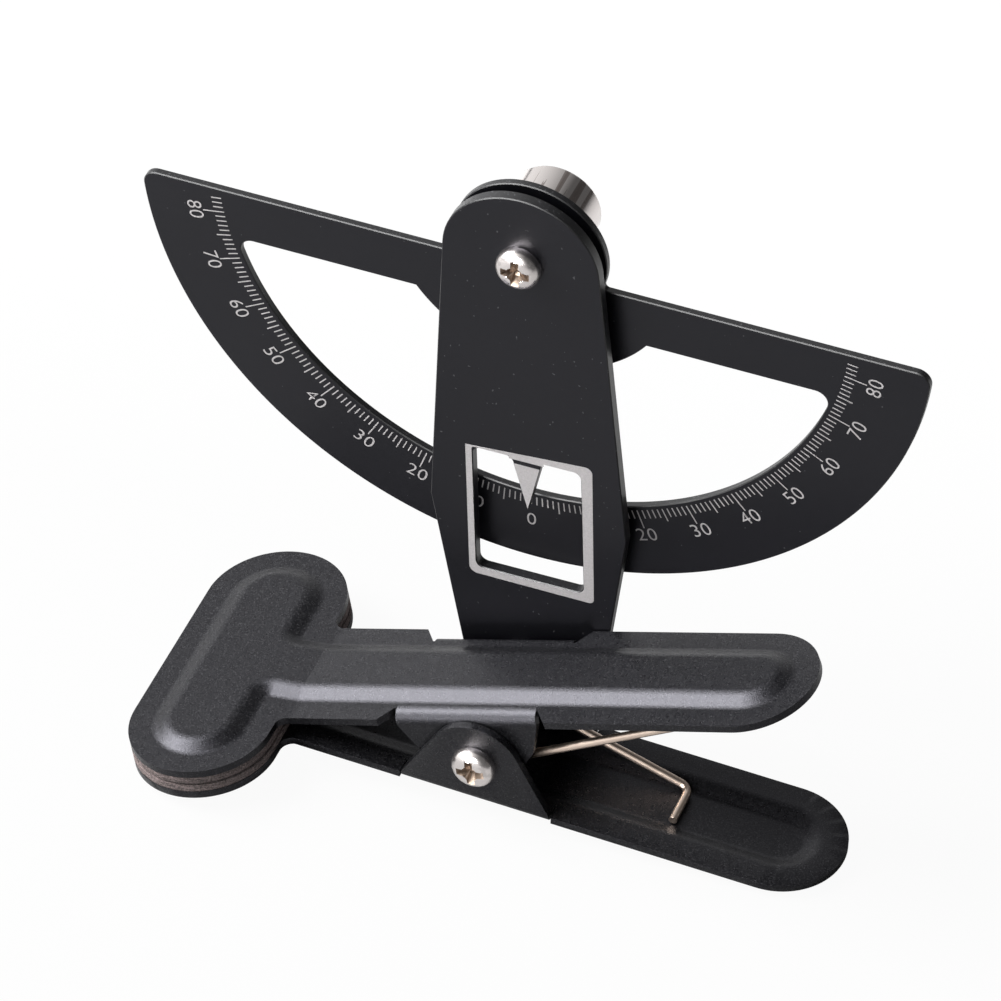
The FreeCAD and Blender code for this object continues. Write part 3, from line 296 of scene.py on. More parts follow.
class Finish(Nodes):
    """A material with a principled shader."""

    def __init__(self, label, metallic=0.0, specular=0.5):
        self.material = bpy.data.materials.new(label)
        super().__init__(self.material)
        self.shader = self.tree.nodes["Principled BSDF"]
        self.give(Metallic=metallic, Specular_IOR_Level=specular)

    def give(self, **inputs):
        """Set or link sockets of the principled shader, by name with _ for a space."""
        for name, value in inputs.items():
            self.feed(self.shader.inputs[name.replace("_", " ")], value)

    def place(self):
        """Place on the piece, in metres."""
        return self.node("ShaderNodeTexCoord", output="Object")

    def noise(self, scale, detail=2.0, roughness=0.5, stretch=None):
        """Noise between 0 and 1 whose grains are about 1 / scale metres."""
        where = self.place()
        if stretch:
            where = self.node("ShaderNodeMapping", inputs={"Vector": where, "Scale": stretch})
        return self.node("ShaderNodeTexNoise", inputs={
            "Vector": where, "Scale": scale, "Detail": detail, "Roughness": roughness})

    def mix(self, mask, first, second):
        return self.node("ShaderNodeMix", {"data_type": "RGBA"}, {0: mask, 6: first, 7: second}, output=2)

    def bump(self, height, strength, distance):
        self.give(Normal=self.node("ShaderNodeBump", inputs={
            "Height": height, "Strength": strength, "Distance": distance}))


def powder_coat(colours):
    """Black textured coat with a fine even grain."""
    finish = Finish("powder_coat", specular=0.27)
    grain = finish.noise(5200.0, 3.0, 0.8)
    pebbles = finish.noise(2300.0, 1.0)
    finish.give(Base_Color=finish.mix(grain - 0.51, colours.coat, colours.fleck),
                Roughness=0.24 + pebbles * 0.1, Specular_Tint=colours.tint)
    finish.bump(grain, 0.6, 0.00006)
    return finish.material


def black_anodised(colours):
    """Smooth satin black with a faint grain and a few pale specks of dust."""
    finish = Finish("black_anodised", specular=0.31)
    grain = finish.noise(4200.0, 2.0)
    broad = finish.noise(55.0, 3.0)
    dust = (finish.noise(2600.0, 0.0) > 0.85) * 0.3
    satin = finish.mix(broad, colours.anodised, shaded(colours.anodised, 1.7))
    finish.give(Base_Color=finish.mix(dust, satin, PALE_SPECK), Roughness=0.29 + broad * 0.08,
                Specular_Tint=colours.tint)
    finish.bump(grain, 0.12, 0.00003)
    return finish.material


def cut_edge(colours):
    """Edges where the black has worn in places to grey metal."""
    finish = Finish("cut_edge", metallic=0.1)
    wear = finish.noise(3600.0, 3.0, 0.7)
    bright = (0.12, 0.12, 0.13)
    finish.give(Base_Color=finish.mix((wear > 0.64) * 0.5, colours.cut_edge, bright),
                Roughness=0.3 + wear * 0.15)
    return finish.material


def laser_mark(colours):
    """Light grey laser marks, a little mottled."""
    finish = Finish("laser_mark", specular=0.3)
    mottle = finish.noise(5200.0, 2.0, 0.7)
    finish.give(Base_Color=finish.mix(mottle, shaded(colours.mark, 0.6), colours.mark), Roughness=0.5)
    finish.bump(mottle, 0.2, 0.00002)
    return finish.material


def bright_nickel(colours):
    """Bright plated steel with soft stains."""
    finish = Finish("bright_nickel", metallic=1.0)
    blotches = finish.noise(700.0, 4.0, 0.6)
    dull = shaded(colours.nickel, 0.62)
    finish.give(Base_Color=finish.mix((blotches > 0.6) * 0.5 + blotches * 0.2, colours.nickel, dull),
                Roughness=0.16 + blotches * 0.14)
    finish.bump(finish.noise(1500.0, 2.0), 0.15, 0.00004)
    return finish.material


def turned_nickel(colours):
    """Bright nickel with painted reflections, dark streaks along the Y axis, and faint turning marks around it."""
    finish = Finish("turned_nickel", metallic=1.0)
    # Painted reflections: dark brownish streaks along the barrel's axis, mixed into its colour and made a little
    # rougher.
    reflection_streaks = finish.noise(1.0, 2.0, 0.6, stretch=(900.0, 25.0, 900.0))
    rings = finish.noise(1.0, 3.0, 0.6, stretch=(60.0, 9000.0, 60.0))
    painted_reflection_colour = (0.12, 0.085, 0.07)
    bright = shaded(colours.nickel, 0.83)
    finish.give(Base_Color=finish.mix((reflection_streaks > 0.58) * reflection_streaks, bright, painted_reflection_colour),
                Roughness=0.08 + rings * 0.06 + (reflection_streaks > 0.6) * 0.1)
    finish.bump(rings, 0.06, 0.00003)
    return finish.material


def plated_wire(colours):
    """Warm, drawn and plated spring wire."""
    finish = Finish("plated_wire", metallic=1.0)
    streak = finish.noise(500.0, 4.0, 0.65)
    finish.give(Base_Color=finish.mix(streak * 0.6, colours.wire, shaded(colours.wire, 0.5)),
                Roughness=0.2 + streak * 0.2)
    finish.bump(finish.noise(2400.0, 2.0), 0.1, 0.00003)
    return finish.material


def plated_steel(colours):
    """Cloudy zinc plating."""
    finish = Finish("zinc_plated", metallic=1.0)
    cloud = finish.noise(600.0, 4.0, 0.6)
    finish.give(Base_Color=finish.mix(cloud * 0.5, colours.zinc, shaded(colours.zinc, 0.7)),
                Roughness=0.28 + cloud * 0.2)
    finish.bump(cloud, 0.1, 0.00003)
    return finish.material


def turned_brass(colours):
    """Brass with faint turning marks."""
    finish = Finish("turned_brass", metallic=1.0)
    rings = finish.noise(1.0, 3.0, 0.6, stretch=(80.0, 7000.0, 80.0))
    finish.give(Base_Color=finish.mix(rings * 0.5, colours.brass, shaded(colours.brass, 0.7)),
                Roughness=0.22 + rings * 0.15)
    return finish.material


def pressed_felt(colours):
    """Brownish fibre pad, layered along its thickness."""
    finish = Finish("pressed_felt", specular=0.2)
    layers = finish.noise(1.0, 4.0, 0.7, stretch=(300.0, 300.0, 3200.0))
    fibre = finish.noise(4200.0, 4.0, 0.75)
    weave = (fibre - 0.35) * 1.6 + (layers - 0.5)
    finish.give(Base_Color=finish.mix(weave, shaded(colours.felt, 0.12), colours.felt), Roughness=0.95)
    finish.bump(fibre + layers, 0.9, 0.0002)
    return finish.material


def recess_stain(colours):
    """Darker, brownish metal at the bottom of the screws' recesses."""
    finish = Finish("recess_stain", metallic=0.8)
    # Every face of the recesses is darker and browner than the rest of the screw.
    blotches = finish.noise(1500.0, 3.0, 0.6)
    finish.give(Base_Color=finish.mix(blotches, (0.1, 0.07, 0.05), (0.38, 0.3, 0.24)),
                Roughness=0.35 + blotches * 0.2)
    return finish.material


def natural_nylon(colours):
    """Milky plastic."""
    finish = Finish("natural_nylon", specular=0.4)
    cloud = finish.noise(800.0, 3.0)
    finish.give(Base_Color=finish.mix(cloud, (0.62, 0.62, 0.58), (0.74, 0.74, 0.7)), Roughness=0.5)
    return finish.material


FINISHES = {}
FINISH_OF_SLOT = {
    "powder_coat": powder_coat, "grip_pad": pressed_felt, "spring_wire": plated_wire,
    "bush_plastic": natural_nylon, "bright_nickel": bright_nickel, "zinc_steel": plated_steel,
    "black_anodised": black_anodised, "rivet_alloy": plated_steel, "barrel_nickel": turned_nickel,
    "spacer_brass": turned_brass, "bearing_steel": plated_steel, "cage_brass": turned_brass,
}


def finish_of(maker):
    """The material that a maker gives, made once."""
    if maker.__name__ not in FINISHES:
        FINISHES[maker.__name__] = maker(bpy.context.scene.gauge_finish)
    return FINISHES[maker.__name__]


def dress(piece, *makers):
    """Give a piece the finishes of some makers, in order."""
    for maker in makers:
        piece.data.materials.append(finish_of(maker))


# Modelling by hand: pieces are shaped in millimetres about their own axis, then settled in place.

def mm(value):
    return value / MM


def on_its_own():
    """Leave edit mode with nothing selected."""
    if bpy.context.mode != "OBJECT":
        bpy.ops.object.mode_set(mode="OBJECT")
    bpy.ops.object.select_all(action="DESELECT")


def hold(piece):
    """Make one piece the only selected and the active one."""
    on_its_own()
    piece.select_set(True)
    bpy.context.view_layer.objects.active = piece
    return piece


def freshly_added(label):
    """Name the piece that was just added, and take up its place and scale."""
    piece = bpy.context.object
    bpy.ops.object.transform_apply(location=True, rotation=True, scale=True)
    piece.name = piece.data.name = label
    return piece


def add_block(label, low, high):
    on_its_own()
    low, high = Vector(low), Vector(high)
    bpy.ops.mesh.primitive_cube_add(size=1, location=(low + high) / 2, scale=high - low)
    return freshly_added(label)


def add_disc(label, radius, front, back, sides=256):
    """Round plate about the Y axis."""
    on_its_own()
    bpy.ops.mesh.primitive_cylinder_add(vertices=sides, radius=radius, depth=back - front,
                                        location=(0, (front + back) / 2, 0), rotation=(math.pi / 2, 0, 0))
    return freshly_added(label)


def pick(piece, kind, test):
    """In edit mode, select the vertices, edges or faces whose corners all pass a test."""
    if bpy.context.mode != "EDIT_MESH":
        hold(piece)
        bpy.ops.object.mode_set(mode="EDIT")
    bpy.ops.mesh.select_mode(type=kind)
    bpy.ops.mesh.select_all(action="DESELECT")
    form = bmesh.from_edit_mesh(piece.data)
    items = {"VERT": form.verts, "EDGE": form.edges, "FACE": form.faces}[kind]
    chosen = [item for item in items
              if all(test(corner.co) for corner in ((item,) if kind == "VERT" else item.verts))]
    for item in chosen:
        item.select_set(True)
    bmesh.update_edit_mesh(piece.data)
    if not chosen:
        raise RuntimeError(f"{piece.name}: nothing to pick")


def weld(piece, threshold):
    """Join corners that meet, and turn every face outward."""
    pick(piece, "VERT", lambda at: True)
    bpy.ops.mesh.remove_doubles(threshold=threshold)
    bpy.ops.mesh.normals_make_consistent(inside=False)
    on_its_own()


def draw_lines(label, lines, closed, **settings):
    """Piece made from curves through points, with a curve's own settings for its thickness."""
    drawing = bpy.data.curves.new(label, "CURVE")
    for name, value in settings.items():
        setattr(drawing, name, value)
    for line in lines:
        spline = drawing.splines.new("POLY")
        spline.points.add(len(line) - 1)
        spline.use_cyclic_u = closed
        for point, place in zip(spline.points, line):
            point.co = (*place, 1.0)
    piece = bpy.data.objects.new(label, drawing)
    bpy.context.scene.collection.objects.link(piece)
    hold(piece)
    bpy.ops.object.convert(target="MESH")
    return bpy.context.object


def turn_upside_down(piece):
    """Mirror a piece, so that its top becomes its underside."""
    piece.data.transform(UPSIDE_DOWN)
    piece.data.flip_normals()


def apply_modifier(piece, kind, **settings):
    """Change a piece with a modifier that is applied at once."""
    hold(piece)
    modifier = piece.modifiers.new(kind.title(), kind)
    for name, value in settings.items():
        setattr(modifier, name, value)
    bpy.ops.object.modifier_apply(modifier=modifier.name)


def combine(piece, tool, operation):
    """Join, cut or intersect a piece with another one, which is used up."""
    apply_modifier(piece, "BOOLEAN", operation=operation, object=tool, solver="EXACT")
    bpy.data.objects.remove(tool)
    return piece


def soften(piece, width, limit=35.0, segments=2):
    """Round the edges that turn by more than a limit in degrees."""
    apply_modifier(piece, "BEVEL", width=width, segments=segments, limit_method="ANGLE",
                   angle_limit=math.radians(limit))


def smooth_shaded(piece, degrees=32.0):
    """Shade a piece smooth, up to an angle."""
    hold(piece)
    bpy.ops.object.shade_smooth_by_angle(angle=math.radians(degrees))
    apply_modifier(piece, "WEIGHTED_NORMAL", keep_sharp=True, weight=50)
    return piece


def settle(piece, place, body, nodes, slot, *makers):
    """Put a finished piece in its place in metres and tie it to its body.

    A piece that isn't dressed yet gets the finishes of the makers, or else the one of its slot.
    """
    on_its_own()
    piece.data.transform(place)
    piece.data.update()
    if not piece.data.materials:
        dress(piece, *(makers or (FINISH_OF_SLOT[slot],)))
    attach(piece, body)
    if nodes:
        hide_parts(*nodes)


def turn_on_lathe(label, profile, steps=80):
    """Piece turned about the Y axis from a profile of (radius, distance along Y)."""
    mesh = bpy.data.meshes.new(label)
    mesh.from_pydata([(radius, along, 0.0) for radius, along in profile],
                     [(index, index + 1) for index in range(len(profile) - 1)], [])
    piece = bpy.data.objects.new(label, mesh)
    bpy.context.scene.collection.objects.link(piece)
    hold(piece)
    bpy.ops.object.mode_set(mode="EDIT")
    bpy.ops.mesh.select_all(action="SELECT")
    bpy.ops.mesh.spin(steps=steps, angle=2 * math.pi, center=(0, 0, 0), axis=(0, 1, 0))
    weld(piece, 0.001)
    return piece


# Places of the pieces' own axes.

def axis_at(point, turn=0.0):
    """Place of a piece in millimetres whose own origin goes to a point in metres."""
    return Matrix.Translation(point) @ Matrix.Rotation(turn, 4, "Y") @ Matrix.Scale(MM, 4)


def on_clamp():
    return axis_at(CLAMP_PIVOT, -PITCH)


def on_dial():
    return axis_at(DIAL_PIVOT)


def on_upright(plates):
    return axis_at(DIAL_PIVOT, -plates.lean)


# The jaws, shaped flat and with the arm unbent, then bent at the crease.

class Flat:
    """Heights and stations along the unbent sheet, measured in its middle, in millimetres."""

    def __init__(self, sizes):
        self.level = mm(sizes.pad_gap / 2 + sizes.pad_sheet + sizes.sheet / 2)
        short = mm(sizes.sheet / 2) * math.tan(sizes.bend / 2)
        self.crease = -mm(sizes.crease_reach) - short
        self.pivot = self.crease - (self.crease * math.cos(sizes.bend) + self.level * math.sin(sizes.bend))
        self.above_pivot = self.level * math.cos(sizes.bend) - self.crease * math.sin(sizes.bend)
        self.arm_end = self.crease + mm(sizes.arm_length) - short
        self.head = -mm(sizes.crease_reach + sizes.neck_blend + sizes.head_radius)


def tee(sizes, flat, inset, blend, height):
    """T-shaped face of a jaw, a distance inside its edge."""
    radius, neck = mm(sizes.head_radius) - inset, mm(sizes.arm_half) - inset
    reach, right = mm(sizes.head_half) + radius, flat.head + radius
    end = flat.arm_end + neck
    on_its_own()
    bpy.ops.mesh.primitive_plane_add(size=1)
    bpy.ops.transform.resize(value=(2 * radius, 2 * reach, 1))
    bpy.ops.transform.translate(value=(flat.head, 0, height))
    face = freshly_added("tee")
    pick(face, "VERT", lambda at: True)
    for side in (neck, -neck):
        bpy.ops.mesh.select_all(action="SELECT")
        bpy.ops.mesh.bisect(plane_co=(0, side, 0), plane_no=(0, 1, 0))
    pick(face, "EDGE", lambda at: abs(at.x - right) < NEAR and abs(at.y) < neck + NEAR)
    bpy.ops.mesh.extrude_edges_move(TRANSFORM_OT_translate={"value": (end - right, 0, 0)})
    bpy.ops.mesh.select_all(action="SELECT")
    bpy.ops.mesh.dissolve_faces()
    for test, rounding, segments in (
            (lambda at: abs(abs(at.y) - reach) < NEAR, radius, 20),
            (lambda at: abs(at.x - right) < NEAR and abs(abs(at.y) - neck) < NEAR, blend, 8),
            (lambda at: abs(at.x - end) < NEAR, neck, 20)):
        pick(face, "VERT", test)
        bpy.ops.mesh.bevel(offset=rounding, segments=segments, affect="VERTICES", clamp_overlap=False)
    bpy.ops.mesh.select_all(action="SELECT")
    bpy.ops.mesh.remove_doubles(threshold=0.002)
    on_its_own()
    return face


def pressed_rib(label, sizes, flat):
    """Flat border, soft sloping sides and raised middle of a jaw, not yet bent."""
    inset, slope, rise = mm(sizes.rib_inset), mm(sizes.rib_slope), mm(sizes.rib_rise)
    blend = mm(sizes.rib_blend)
    lift = 0.02
    loops = [tee(sizes, flat, 0.0, mm(sizes.neck_blend), 0.0), tee(sizes, flat, inset, blend, lift),
             tee(sizes, flat, inset + slope, blend + slope, rise)]
    for loop in loops[:2]:
        pick(loop, "FACE", lambda at: True)
        bpy.ops.mesh.delete(type="ONLY_FACE")
        on_its_own()
    sheet = hold(loops[0])
    for loop in loops[1:]:
        loop.select_set(True)
    bpy.ops.object.join()
    sheet.name = sheet.data.name = label
    pick(sheet, "EDGE", lambda at: at.z < 1.5 * lift)
    bpy.ops.mesh.bridge_edge_loops()
    pick(sheet, "EDGE", lambda at: at.z > 0.5 * lift)
    bpy.ops.mesh.bridge_edge_loops()
    pick(sheet, "VERT", lambda at: abs(at.z - lift) < 0.5 * lift)
    bpy.ops.transform.translate(value=(0, 0, -lift))
    bpy.ops.mesh.select_all(action="SELECT")
    bpy.ops.mesh.normals_make_consistent(inside=False)
    bpy.ops.mesh.select_all(action="DESELECT")
    bpy.ops.mesh.select_mode(type="EDGE")
    bpy.ops.mesh.edges_select_sharp(sharpness=math.radians(20))
    bpy.ops.mesh.bevel(offset=mm(sizes.rib_soft), segments=4, affect="EDGES", clamp_overlap=True)
    bpy.ops.mesh.select_all(action="SELECT")
    bpy.ops.transform.translate(value=(0, 0, flat.level))
    on_its_own()
    return sheet


def slice_across(sheet, stations):
    """New edges straight across the sheet."""
    pick(sheet, "VERT", lambda at: True)
    for station in stations:
        bpy.ops.mesh.select_all(action="SELECT")
        bpy.ops.mesh.bisect(plane_co=(station, 0, 0), plane_no=(1, 0, 0))


def shift(piece, test, offset):
    """Move the corners that pass a test."""
    pick(piece, "VERT", test)
    bpy.ops.transform.translate(value=offset)


def fold_ears(sheet, sizes, flat, face, bends, ends, root, edge, knee=None):
    """Cut the reliefs beside both ears, then draw each ear down around its bend to a round end."""
    half, arm, deep = mm(sizes.ear_half), mm(sizes.arm_half), mm(sizes.relief_depth)
    hair = 0.02
    root = min(root, edge - hair)
    stations = [half * share for share in (0, 0.35, 0.7, 1)] + [half + hair, root, edge]
    slice_across(sheet, sorted({flat.pivot + end * station for station in stations for end in (-1, 1)}))

    def border(low, high, side):
        return lambda at: (low - NEAR / 2 < at.x - flat.pivot < high + NEAR / 2
                           and abs(at.y - side * arm) < NEAR)

    for side, turn_radius, end_radius in zip((-1, 1), bends, ends):
        bend, flange = mm(turn_radius - sizes.sheet / 2), face - mm(turn_radius)
        shift(sheet, border(-root, -half - hair, side), (0, side * (deep - arm), 0))
        shift(sheet, border(half + hair, root, side), (0, side * (deep - arm), 0))
        shift(sheet, border(-half, half, side), (0, side * (flange - arm), 0))
        pick(sheet, "EDGE", lambda at: abs(at.x - flat.pivot) < half + NEAR / 2
             and abs(at.y - side * flange) < NEAR)
        for before, turn in zip(BEND_TURNS, BEND_TURNS[1:]):
            offset = (0, side * bend * (math.sin(turn) - math.sin(before)),
                      bend * (math.cos(turn) - math.cos(before)))
            bpy.ops.mesh.extrude_edges_move(TRANSFORM_OT_translate={"value": offset})
        round_off_ear(flat, half, flat.above_pivot - bend, mm(end_radius), knee)
    on_its_own()


def round_off_ear(flat, half, start, radius, knee):
    """Draw an ear on from its bend in rows that narrow to its round end about the pivot."""
    reach, height = knee or (half, start)
    touch = math.atan2(height, reach) - math.acos(radius / math.hypot(reach, height))
    last, steps = math.radians(-84), 8
    turns = [touch + (last - touch) * step / steps for step in range(steps + 1)]
    rows = [(half, start)] + ([knee] if knee else [])
    rows += [(radius * math.cos(turn), radius * math.sin(turn)) for turn in turns]
    for (width, level), (new_width, new_level) in zip(rows, rows[1:]):
        bpy.ops.mesh.extrude_edges_move(TRANSFORM_OT_translate={"value": (0, 0, new_level - level)})
        bpy.ops.transform.resize(value=(new_width / width, 1, 1), center_override=(flat.pivot, 0, 0))


def bend_arm(sheet, sizes, flat):
    """Bend arm and ears up at the crease: crisp over the rib, a little rounder on the border."""
    soft, around, crumb = 0.45, 2.0, 0.06
    slice_across(sheet, [flat.crease - soft, flat.crease, flat.crease + soft])
    pick(sheet, "VERT", lambda at: abs(at.x - flat.crease) < around)
    bpy.ops.mesh.remove_doubles(threshold=crumb)
    pick(sheet, "VERT", lambda at: at.x > flat.crease + NEAR)
    turned = Matrix.Rotation(-sizes.bend, 4, "Y")
    centre = Vector((flat.crease, 0, flat.level))
    form = bmesh.from_edit_mesh(sheet.data)
    bmesh.ops.rotate(form, cent=centre, matrix=turned,
                     verts=[corner for corner in form.verts if corner.select])
    bmesh.update_edit_mesh(sheet.data)
    on_its_own()


def pressed_jaw(label, sizes, hole, *ear_form):
    """A jaw with its rib, ears, bend, thickness and holes."""
    flat = Flat(sizes)
    sheet = pressed_rib(label, sizes, flat)
    fold_ears(sheet, sizes, flat, *ear_form)
    bend_arm(sheet, sizes, flat)
    apply_modifier(sheet, "SOLIDIFY", thickness=mm(sizes.sheet), offset=0.0, use_even_offset=True)
    drill = add_disc("drill", hole, -12, 12, 48)
    combine(sheet, drill, "DIFFERENCE")
    soften(sheet, mm(sizes.rim), limit=50.0, segments=3)
    rib_top = flat.level + mm(sizes.rib_rise + sizes.sheet / 4)
    ridge, beside = flat.crease - 0.03, 0.12
    pick(sheet, "EDGE", lambda at: at.z > rib_top and abs(at.x - ridge) < beside)
    bpy.ops.mesh.mark_sharp()
    on_its_own()
    return smooth_shaded(sheet)


class GAUGE_OT_jaws(bpy.types.Operator):
    """Press both T-shaped jaws from sheet, with their ribs and folded ears"""
    bl_idname = "gauge.jaws"
    bl_label = "Jaws"

    def execute(self, context):
        sizes, hardware = context.scene.gauge_clamp, context.scene.gauge_hardware
        hole = mm(hardware.thread) / 2 + HOLE_PLAY
        outer = depth("upright")[0]
        inner = outer - mm(sizes.sheet) - mm(sizes.ear_running)
        knee = (mm(sizes.ear_waist), mm(sizes.ear_knee))
        slit = mm(sizes.ear_half + sizes.relief_slit)
        upper = pressed_jaw("upper_jaw_pressed", sizes, hole, inner, (sizes.inner_bend, sizes.rear_bend),
                            (sizes.inner_ear, sizes.inner_ear), mm(sizes.relief_root),
                            mm(sizes.relief_half), knee)
        lower = pressed_jaw("lower_jaw_pressed", sizes, hole, outer, (sizes.ear_bend, sizes.ear_bend),
                            (sizes.outer_ear, sizes.rear_ear), slit, slit)
        turn_upside_down(lower)
        settle(upper, on_clamp(), "upper_jaw", ["upper_jaw"], "powder_coat")
        settle(lower, on_clamp(), "clamp", ["lower_jaw"], "powder_coat")
        return {"FINISHED"}


class GAUGE_OT_pads(bpy.types.Operator):
    """Cut the two pads that line the jaws' heads"""
    bl_idname = "gauge.pads"
    bl_label = "Pads"

    def execute(self, context):
        sizes = context.scene.gauge_clamp
        flat = Flat(sizes)
        radius, reach = mm(sizes.head_radius), mm(sizes.head_half)
        low = mm(sizes.pad_gap) / 2
        sides, half_side = 96, math.radians(1.875)
        for name, body in (("upper_pad", "upper_jaw"), ("lower_pad", "clamp")):
            on_its_own()
            bpy.ops.mesh.primitive_cylinder_add(vertices=sides, radius=radius, depth=mm(sizes.pad_sheet),
                                                location=(flat.head, 0, low + mm(sizes.pad_sheet) / 2),
                                                rotation=(0, 0, half_side))
            pad = freshly_added(name + "_cut")
            shift(pad, lambda at: at.y > 0, (0, reach, 0))
            shift(pad, lambda at: at.y < 0, (0, -reach, 0))
            on_its_own()
            soften(pad, 0.15, segments=2)
            smooth_shaded(pad)
            if name == "lower_pad":
                turn_upside_down(pad)
            settle(pad, on_clamp(), body, [name], "grip_pad")
        return {"FINISHED"}


# The spring.

def turned_corner(before, corner, after, radius, steps=8):
    """Points of the round between two straight runs that meet at a corner."""
    come, leave = (corner - before).normalized(), (after - corner).normalized()
    turn = come.angle(leave)
    start = corner - come * (radius * math.tan(turn / 2))
    middle = start + (leave - come * come.dot(leave)).normalized() * radius
    arm = start - middle
    return [middle + arm * math.cos(turn * step / steps) + come * radius * math.sin(turn * step / steps)
            for step in range(steps + 1)]


def spring_path(sizes, flat):
    """Both feet, both legs and the coil of the spring, about the clamp's pivot."""
    wire, radius = mm(sizes.wire), mm(sizes.coil_radius)
    inner = flat.above_pivot - mm(sizes.sheet) / 2
    pitch = wire + mm(sizes.coil_play)
    front = -mm(sizes.coil_front)
    upper = leg_end(sizes, mm(sizes.upper_foot), inner - wire / 2 - mm(sizes.foot_play), 1)
    lower = leg_end(sizes, mm(sizes.lower_foot),
                    inner + mm(sizes.rib_rise) - wire / 2 - mm(sizes.trough_play), -1)
    rise = math.atan2(upper.z, upper.x) + math.asin(radius / upper.length)
    fall = math.atan2(-lower.z, lower.x) + math.asin(radius / lower.length)
    slope = math.atan2(pitch, 2 * math.pi * radius)
    turns = sizes.coil_turns + 0.5 + (rise + fall) / (2 * math.pi)
    coil = []
    steps_a_turn = 40
    steps = round(turns * steps_a_turn)
    for step in range(steps + 1):
        turn = math.pi / 2 - rise + 2 * math.pi * turns * step / steps
        coil.append(Vector((radius * math.cos(turn), front + pitch * turns * step / steps,
                            -radius * math.sin(turn))))
    lead = Vector((math.cos(rise) * math.cos(slope), -math.sin(slope), math.sin(rise) * math.cos(slope)))
    trail = Vector((math.cos(fall) * math.cos(slope), math.sin(slope), -math.sin(fall) * math.cos(slope)))
    foot = Vector((0, mm(sizes.foot_length), 0))
    ends = []
    for start, way, point, side in ((coil[0], lead, upper, 1), (coil[-1], trail, lower, -1)):
        run = math.sqrt(point.length ** 2 - radius ** 2) / math.sqrt(1 - way.y ** 2)
        corner = start + way * run
        tip = corner + side * foot
        ends.append([start, *turned_corner(start, corner, tip, mm(sizes.foot_bend)), tip])
    return ends[0][:0:-1] + coil + ends[1][1:]


def leg_end(sizes, reach, height, side):
    """Foot of a leg, a distance along its arm and a height from the pivot square to it."""
    bend = sizes.bend
    return Vector((reach * math.cos(bend) - height * math.sin(bend), 0,
                   side * (reach * math.sin(bend) + height * math.cos(bend))))


class GAUGE_OT_spring(bpy.types.Operator):
    """Wind the torsion spring and bend its feet"""
    bl_idname = "gauge.spring"
    bl_label = "Spring"

    def execute(self, context):
        sizes = context.scene.gauge_clamp
        spring = draw_lines("spring_wound", [spring_path(sizes, Flat(sizes))], False, dimensions="3D",
                            bevel_depth=mm(sizes.wire) / 2, bevel_resolution=6, use_fill_caps=True)
        weld(spring, 0.0005)
        soften(spring, 0.12, limit=60.0, segments=2)
        smooth_shaded(spring, 40.0)
        place = on_clamp()
        spring.data.transform(place)
        dress(spring, plated_wire)
        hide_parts("torsion_spring")
        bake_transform(spring)
        return {"FINISHED"}


# Dial and upright, drawn as flat outlines and given their thickness.

def arc(centre, radius, start, end, number):
    """Points of an arc in a plate's plane, from angle to angle in degrees."""
    turns = [math.radians(start + (end - start) * step / (number - 1)) for step in range(number)]
    return [(centre[0] + radius * math.cos(turn), centre[1] + radius * math.sin(turn)) for turn in turns]


def rounded(corners):
    """Outline through corners (x, z, radius), each rounded on its radius."""
    points = []
    spots = [Vector(corner[:2]) for corner in corners]
    for before, at, after, (x, z, radius) in zip(spots[-1:] + spots, spots, spots[1:] + spots[:1], corners):
        if radius:
            points += [tuple(point) for point in turned_corner(before, at, after, radius)]
        else:
            points.append((x, z))
    return points


def mirrored(half):
    """A half outline from the right, closed with its mirror image."""
    return half + [(-x, z) for x, z in reversed(half)]


def flat_outline(label, outlines, front, back, edge=0.0):
    """Plate with holes that stands on its edge, from closed outlines, between two depths."""
    lines = [[(x, z, 0.0) for x, z in outline] for outline in outlines]
    plate = draw_lines(label, lines, True, dimensions="2D", fill_mode="BOTH", offset=-edge,
                       extrude=(back - front) / 2 - edge, bevel_depth=edge, bevel_resolution=0)
    plate.data.transform(Matrix.Translation((0, (front + back) / 2, 0)) @ STAND_UP)
    weld(plate, 0.0005)
    return plate


def edge_finish(plate):
    """Second material on everything that doesn't face front or back."""
    dress(plate, black_anodised, cut_edge)
    for face in plate.data.polygons:
        face.material_index = 0 if abs(face.normal.y) > 0.99 else 1


def circle(radius, centre=(0, 0), number=96):
    return arc(centre, radius, 0, 360 * (number - 1) / number, number)


def dial_outlines(sizes, spigot):
    """Outer outline, opening and bore of the dial."""
    radius, corner = mm(sizes.dial_radius), mm(sizes.dial_corner)
    beam, lug, blend = mm(sizes.beam_drop), mm(sizes.lug_radius), mm(sizes.lug_blend)
    low = math.degrees(math.asin((beam + corner) / (radius - corner)))
    end = (math.sqrt((radius - corner) ** 2 - (beam + corner) ** 2), -beam - corner)
    lift = math.degrees(math.asin((beam - blend) / (lug + blend)))
    step = ((lug + blend) * math.cos(math.radians(lift)), blend - beam)
    outer = (arc((0, 0), radius, -90, -low, 120) + arc(end, corner, -low, 90, 10)
             + arc(step, blend, 270, 180 - lift, 8) + arc((0, 0), lug, -lift, 90, 32))
    inside, bend = mm(sizes.opening_radius), mm(sizes.opening_corner)
    top, hub = mm(sizes.opening_drop), mm(sizes.hub_radius)
    low = math.degrees(math.asin((top + bend) / (inside - bend)))
    end = (math.sqrt((inside - bend) ** 2 - (top + bend) ** 2), -top - bend)
    meets = math.degrees(math.asin(top / hub))
    opening = (arc((0, 0), inside, -90, -low, 100) + arc(end, bend, -low, 90, 10)
               + arc((0, 0), hub, -meets, -90, 32))
    return [mirrored(outer[1:-1]), mirrored(opening[1:-1]), circle(spigot)]


